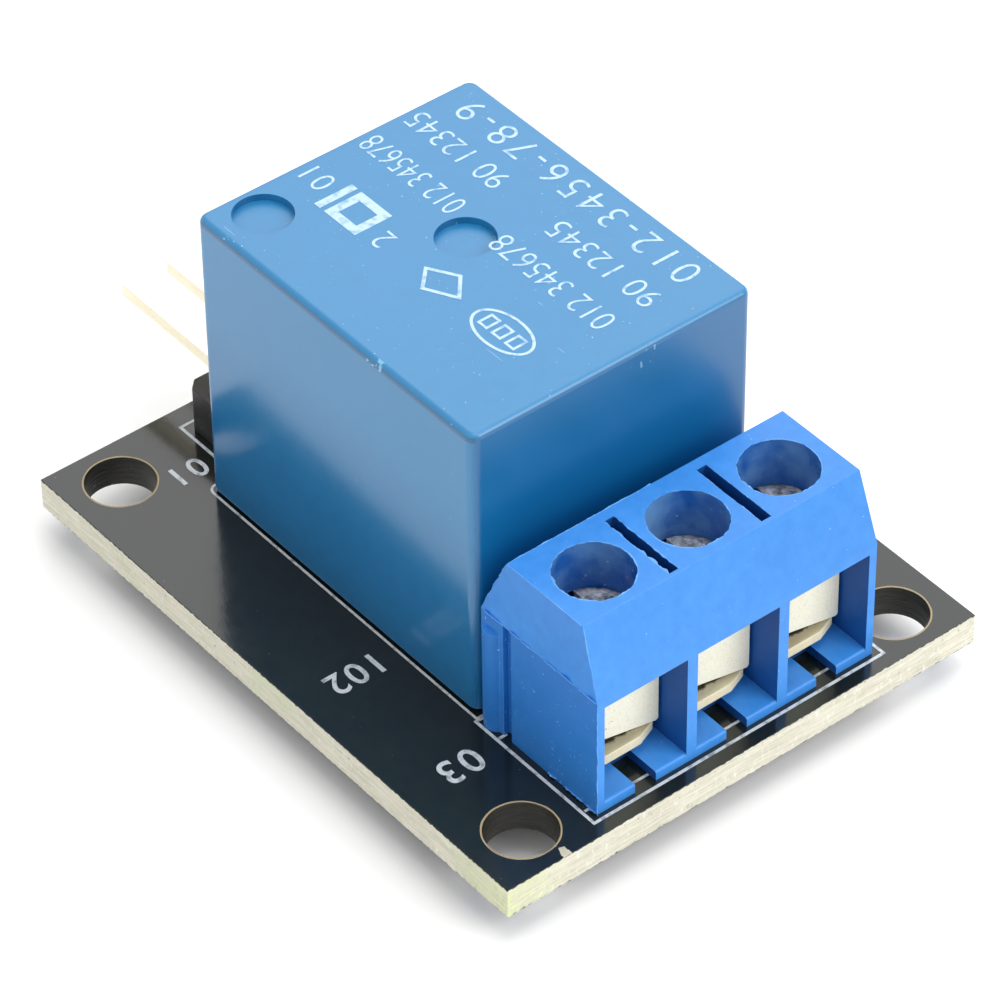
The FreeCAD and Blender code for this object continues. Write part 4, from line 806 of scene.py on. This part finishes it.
# Along the long sides of the two slots, and round the bores
for y, inward, wide in ((-2.53, 1, 0.13), (-1.95, -1, 0.1), (2.55, 1, 0.04), (3.13, -1, 0.03)):
    add_flash(flash, (SLOT_START, y, FLASH_LEVEL), (SLOT_END, y, FLASH_LEVEL), (0, inward, 0), wide,
              (0, 0, 0.3), seed=y)
for x, y in SCREW_PLACES:
    rim = arc(x, y, BORE_RADIUS, BORE_RADIUS, 0, 360, 24)
    for start, end in zip(rim, rim[1:]):
        inward = (Vector((x, y, 0)) - Vector((*start, 0))).normalized()
        add_flash(flash, (*start, FLASH_LEVEL), (*end, FLASH_LEVEL), inward, 0.07, (0, 0, 0.6))

# Up the front corner of the near end, along its foot and along its shoulder
add_flash(flash, (15.6, END_FACE, 1.7), (15.6, END_FACE, 7.9), (0.45, -0.9, 0), 0.17, (1.4, 0, 0),
          step=0.06, seed=3.0)
add_flash(flash, (15.58, -7.4, 1.68), (12.4, END_FACE, 1.68), (0, -1, 0), 0.2, (0, 0, 0.6),
          step=0.06, seed=5.0)
add_flash(flash, (8.1, END_FACE, SHOULDER_TOP), (15.55, END_FACE, SHOULDER_TOP), (0, -1, 0), 0.13,
          (0, 0, 1.2), step=0.06, seed=7.0)

# Along two edges of the top, and down the two sloped corners of the near end
add_flash(flash, (9.6, -7.29, HOUSING_TOP), (14.4, -7.29, HOUSING_TOP), (0, -0.6, 0.5), 0.07, seed=9.0)
add_flash(flash, (9.53, -7.2, HOUSING_TOP), (9.53, 0.5, HOUSING_TOP), (-0.7, 0, 0.3), 0.05, seed=11.0)
add_flash(flash, (15.58, -7.43, SHOULDER_TOP), (14.5, -7.29, HOUSING_TOP), (0.5, -0.7, 0), 0.08, seed=17.0)
add_flash(flash, (7.97, -7.42, SHOULDER_TOP), (9.5, -7.3, HOUSING_TOP - 0.1), (-0.5, -0.7, 0), 0.1, seed=13.0)
bmesh.ops.remove_doubles(flash, verts=flash.verts, dist=0.001 * MM)
thin_flash = set_piece(flash, "terminal_flash", "board", [TERMINAL_EDGE])
skin = thin_flash.modifiers.new("skin", "SOLIDIFY")
skin.thickness = 0.03 * MM
skin.offset = 0.0

# Clamps in the terminal block
# Each way has a bent and cut frame of nickel plated brass, a folded plate that lies on the wire,
# and a slotted screw of zinc plated steel that lifts and presses the plate.


def dull_plate(name, dark, light, metallic, rough, pits):
    """Matte plated brass, with small dark pits where the plating is thin."""
    material = bright_metal(name, dark, light, rough, 900, 0.4)
    tree = material.node_tree
    shader = shader_of(tree)
    holes = cloud(tree, place_on(tree), 4200, 2.0)
    grains = spread(tree, cloud(tree, place_on(tree), 8500, 2.0), 0.5, 0.3, 0.0, 0.6)
    colour = mix(tree, grains, so_far(shader["Base Color"]), (0.82, 0.74, 0.52))
    colour = mix(tree, spread(tree, holes, pits, pits - 0.06), colour, (0.30, 0.24, 0.12))
    tree.links.new(colour, shader["Base Color"])
    shader["Metallic"].default_value = metallic
    return material


# Painted shade under the plate fades out between these places along the strip
PLATE_SHADE_START, PLATE_SHADE_END = 13.78 * MM, 13.92 * MM


def rolled_brass():
    """Painted shade on the strip under the plate, ending in a ragged line near the front edge."""
    material = bright_metal("rolled_brass", (0.80, 0.68, 0.42), (1.0, 0.93, 0.66), (0.25, 0.45), 1200, 0.5,
                            (1, 0.3, 1))
    tree = material.node_tree
    shader = shader_of(tree)
    shader["Metallic"].default_value = 0.3
    place = place_on(tree)
    x = add_node(tree, "SeparateXYZ", {0: place})[0]
    ragged = times(tree, cloud(tree, place, 2200, 3.0), 0.5 * MM)
    clear_of_plate_shade = spread(tree, maths(tree, "ADD", x, ragged), PLATE_SHADE_START, PLATE_SHADE_END)
    tree.links.new(mix(tree, clear_of_plate_shade, (0.10, 0.085, 0.05), so_far(shader["Base Color"])), shader["Base Color"])
    return material


def zinc_plate():
    """Mottled pale and dark, partly the plating's own tone and partly painted glints, with painted shade
    towards the rim of each head by the bore's wall.
    """
    material = bright_metal("zinc_plate", (0.20, 0.22, 0.24), (1.0, 1.0, 0.98), (0.05, 0.22), 2600, 1.0)
    tree = material.node_tree
    shader = shader_of(tree)
    shader["Metallic"].default_value = 0.45
    tree.nodes["Bump"].inputs["Distance"].default_value = 0.08 * MM

    # Every screw has the same pattern, because the distance along the block folds back halfway
    first_x, first_y = SCREW_PLACES[0]
    halfway = (SCREW_PLACES[1][1] - first_y) / 2
    x, y, z = add_node(tree, "SeparateXYZ", {0: place_on(tree)})
    across = maths(tree, "SUBTRACT", x, first_x * MM)
    along = maths(tree, "PINGPONG", maths(tree, "SUBTRACT", y, first_y * MM), halfway * MM)
    # Painted shade: each head turns dark blue-grey towards its rim, by the bore's wall
    ragged = times(tree, cloud(tree, place_on(tree), 1500), 0.5 * MM)
    rim = spread(tree, maths(tree, "ADD", length(tree, across, along), ragged), 1.8 * MM, 2.1 * MM)
    tree.links.new(mix(tree, rim, so_far(shader["Base Color"]), (0.07, 0.10, 0.17)), shader["Base Color"])
    return material


NICKEL = dull_plate("nickel_plate", (0.98, 0.93, 0.72), (1.0, 0.985, 0.80), 0.0, (0.35, 0.5), 0.27)
SHEARED = dull_plate("sheared_brass", (0.92, 0.81, 0.52), (1.0, 0.91, 0.64), 0.0, (0.3, 0.45), 0.24)
ROLLED = rolled_brass()
ZINC = zinc_plate()

# The screw in millimetres. Its thread is a ridge wound on a plain core.
SCREW_TIP, HEAD_BOTTOM, HEAD_TOP = 4.0, 7.9, 9.0
HEAD_WIDENING, RIM_FROM, TOP_FROM = 1.07, 1.4, 8.6
CORE_RADIUS = 1.02
RIDGE = ((1.0, 0.01), (1.2, 0.15), (1.2, 0.19), (1.0, 0.33))
THREAD_TURNS, THREAD_PITCH, STEPS_A_TURN = 8.1, 0.43, 28


def threaded_screw(node, centre):
    """The solid's head, a little wider and higher so that it fills its bore, with a real thread."""
    screw = solid_copy(node)
    cut_across(screw, (HEAD_BOTTOM + 0.01) * MM, clear_below=True)
    close_holes(screw)
    for vert in screw.verts:
        if (vert.co - centre).xy.length > RIM_FROM * MM:
            vert.co.xy = centre.xy + (vert.co - centre).xy * HEAD_WIDENING
        if vert.co.z > TOP_FROM * MM:
            vert.co.z = HEAD_TOP * MM
    core_length = (HEAD_BOTTOM - SCREW_TIP - 0.02) * MM
    core = bmesh.ops.create_cone(screw, cap_ends=True, segments=32, radius1=CORE_RADIUS * MM,
                                 radius2=CORE_RADIUS * MM, depth=core_length)["verts"]
    bmesh.ops.translate(screw, verts=core, vec=centre + Vector((0, 0, (HEAD_BOTTOM + SCREW_TIP) / 2 * MM)))
    line = [screw.verts.new(centre + Vector((r * MM, 0, (SCREW_TIP + z) * MM))) for r, z in RIDGE]
    edges = [screw.edges.new(pair) for pair in zip(line, line[1:])]
    steps = int(THREAD_TURNS * STEPS_A_TURN)
    rise = THREAD_PITCH * MM * THREAD_TURNS / steps
    bmesh.ops.spin(screw, geom=line + edges, cent=centre, axis=(0, 0, 1), angle=math.tau * THREAD_TURNS,
                   steps=steps, dvec=(0, 0, rise))
    return screw


for number, (x, y) in enumerate(SCREW_PLACES, start=1):
    clamp = solid_copy(f"clamp_frame_{number}")
    for face in clamp.faces:
        face.material_index = 1 if abs(face.normal.x) > 0.5 else 0
    set_piece(clamp, f"clamp_{number}", "board", [ROLLED, SHEARED], [f"clamp_frame_{number}"],
              edge=0.04, edge_material=1)
    guard = f"wire_guard_{number}"
    set_piece(solid_copy(guard), f"clamp_plate_{number}", guard, [NICKEL], [guard],
              edge=0.04)
    node = f"terminal_screw_{number}"
    screw = threaded_screw(node, Vector((x, y, 0)) * MM)
    set_piece(screw, f"clamp_screw_{number}", node, [ZINC], [node], edge=0.03)

# Driver parts
# Small parts soldered flat behind the relay: two resistors, a lamp, a transistor and a diode.
# Ceramic or moulded resin bodies, with tinned metal ends.

CERAMIC = coat(new_material("resistor_black", (0.02, 0.02, 0.02), 0.3), (0.014, 0.014, 0.016),
               (0.03, 0.03, 0.03), 1800, 0.3, 0.2, (0.4, 0.4, 0.4), (0.2, 0.35))
MOULDED = coat(new_material("moulded_resin", (0.02, 0.02, 0.02), 0.5), (0.016, 0.016, 0.017),
               (0.035, 0.035, 0.036), 2200, 0.7, 0.2, (0.4, 0.4, 0.4), (0.4, 0.6))
LAMP = coat(new_material("lamp_resin", (0.8, 0.75, 0.55), 0.2), (0.66, 0.60, 0.40),
            (0.82, 0.78, 0.62), 1200, 0.2, 0.1, (0.9, 0.9, 0.9), (0.12, 0.25))


def set_driver_part(node, name, material, is_metal):
    """One small part, with its metal ends told from its body by where a face lies on it."""
    part = solid_copy(node)
    for face in part.faces:
        x, y, z = face.calc_center_median() / MM
        face.material_index = 1 if is_metal(x - DRIVER_X[node], y - ROW_Y, z) else 0
    set_piece(part, name, "board", [material, TINNED], [node], edge=0.03)


# The metal is told by how far it lies from the part's middle and above the board, in millimetres
for node, name, slot, material in (
    ("base_resistor", "chip_resistor_1", "resistor_ceramic", CERAMIC),
    ("lamp_resistor", "chip_resistor_2", "resistor_ceramic", CERAMIC),
    ("indicator_lamp", "chip_lamp", "lamp_resin", LAMP),
):
    set_driver_part(node, name, material, lambda x, y, z: abs(x) > 0.6)
set_driver_part("driver_transistor", "small_transistor", MOULDED,
                lambda x, y, z: abs(y) > 0.66)
set_driver_part("flyback_diode", "small_diode", MOULDED,
                lambda x, y, z: abs(y) < 0.76 and (abs(x) > 2.25 or z < 1.68))

# Table, light and camera
# The board stands on its trimmed leads on a white table, under a pale sky and three soft lamps.
# The camera's place and turn follow from the corners of the board and the relay in the photograph.

TABLE_TOP = -1.5 * MM


def white_table():
    """White to the camera and in reflections, and greyer in the light that it throws back."""
    material, tree, shader = new_material("table_white", (0.9, 0.9, 0.9), 0.9)
    path = add_node(tree, "LightPath")
    seen = maths(tree, "MAXIMUM", path["Is Camera Ray"], path["Is Glossy Ray"])
    seen = maths(tree, "MAXIMUM", seen, path["Is Transmission Ray"])
    tree.links.new(mix(tree, seen, (0.9, 0.9, 0.9), (0.98, 0.98, 0.98)), shader["Base Color"])
    shader["Specular IOR Level"].default_value = 0.0
    return material


table = bmesh.new()
bmesh.ops.create_grid(table, x_segments=1, y_segments=1, size=3)
bmesh.ops.translate(table, verts=table.verts, vec=(0, 0, TABLE_TOP))
table_mesh = bpy.data.meshes.new("table")
table.to_mesh(table_mesh)
table.free()
table_mesh.materials.append(white_table())
table_top = bpy.data.objects.new("table", table_mesh)
bpy.context.scene.collection.objects.link(table_top)

# White to the camera, and a little less bright on the board
SKY, SKY_ON_BOARD = 1.0, 0.83
world = bpy.data.worlds.new("studio")
bpy.context.scene.world = world
world.use_nodes = True
sky = world.node_tree
light_path = add_node(sky, "LightPath")
direct = maths(sky, "MAXIMUM", light_path["Is Camera Ray"], light_path["Is Transmission Ray"])
background = sky.nodes["Background"]
background.inputs["Color"].default_value = (1, 1, 1, 1)
sky.links.new(between(sky, direct, SKY_ON_BOARD, SKY), background.inputs["Strength"])

BOARD_MIDDLE = Vector((0, 0, 0.005))


def add_lamp(name, place, size, power):
    """A soft square lamp that points at the board. Its place is in metres."""
    lamp = bpy.data.lights.new(name, "AREA")
    lamp.shape = "SQUARE"
    lamp.size = size
    lamp.energy = power
    holder = bpy.data.objects.new(name, lamp)
    bpy.context.scene.collection.objects.link(holder)
    aim = (BOARD_MIDDLE - Vector(place)).to_track_quat("-Z", "Y").to_matrix().to_4x4()
    holder.matrix_world = Matrix.Translation(place) @ aim


add_lamp("back", (-0.29, 0.33, 0.43), 0.5, 1.0)
add_lamp("overhead", (0.05, 0.02, 0.5), 0.22, 0.5)
add_lamp("side", (0.40, 0.21, 0.34), 0.35, 1.4)

camera = bpy.data.cameras.new("photo_camera")
camera.lens = 197.33
camera.sensor_width = 36
camera.clip_start = 0.01
camera_holder = bpy.data.objects.new("photo_camera", camera)
bpy.context.scene.collection.objects.link(camera_holder)
right = Vector((0.6291594, 0.77721452, -0.00979966))
down = Vector((0.51394821, -0.42543597, -0.74489024))
ahead = Vector((-0.58310864, 0.46361818, -0.66711505))
turn = Matrix((right, -down, -ahead)).transposed().to_4x4()
camera_holder.matrix_world = Matrix.Translation((0.140453, -0.111693, 0.165053)) @ turn
bpy.context.scene.camera = camera_holder
bpy.context.scene.view_settings.view_transform = "Standard"
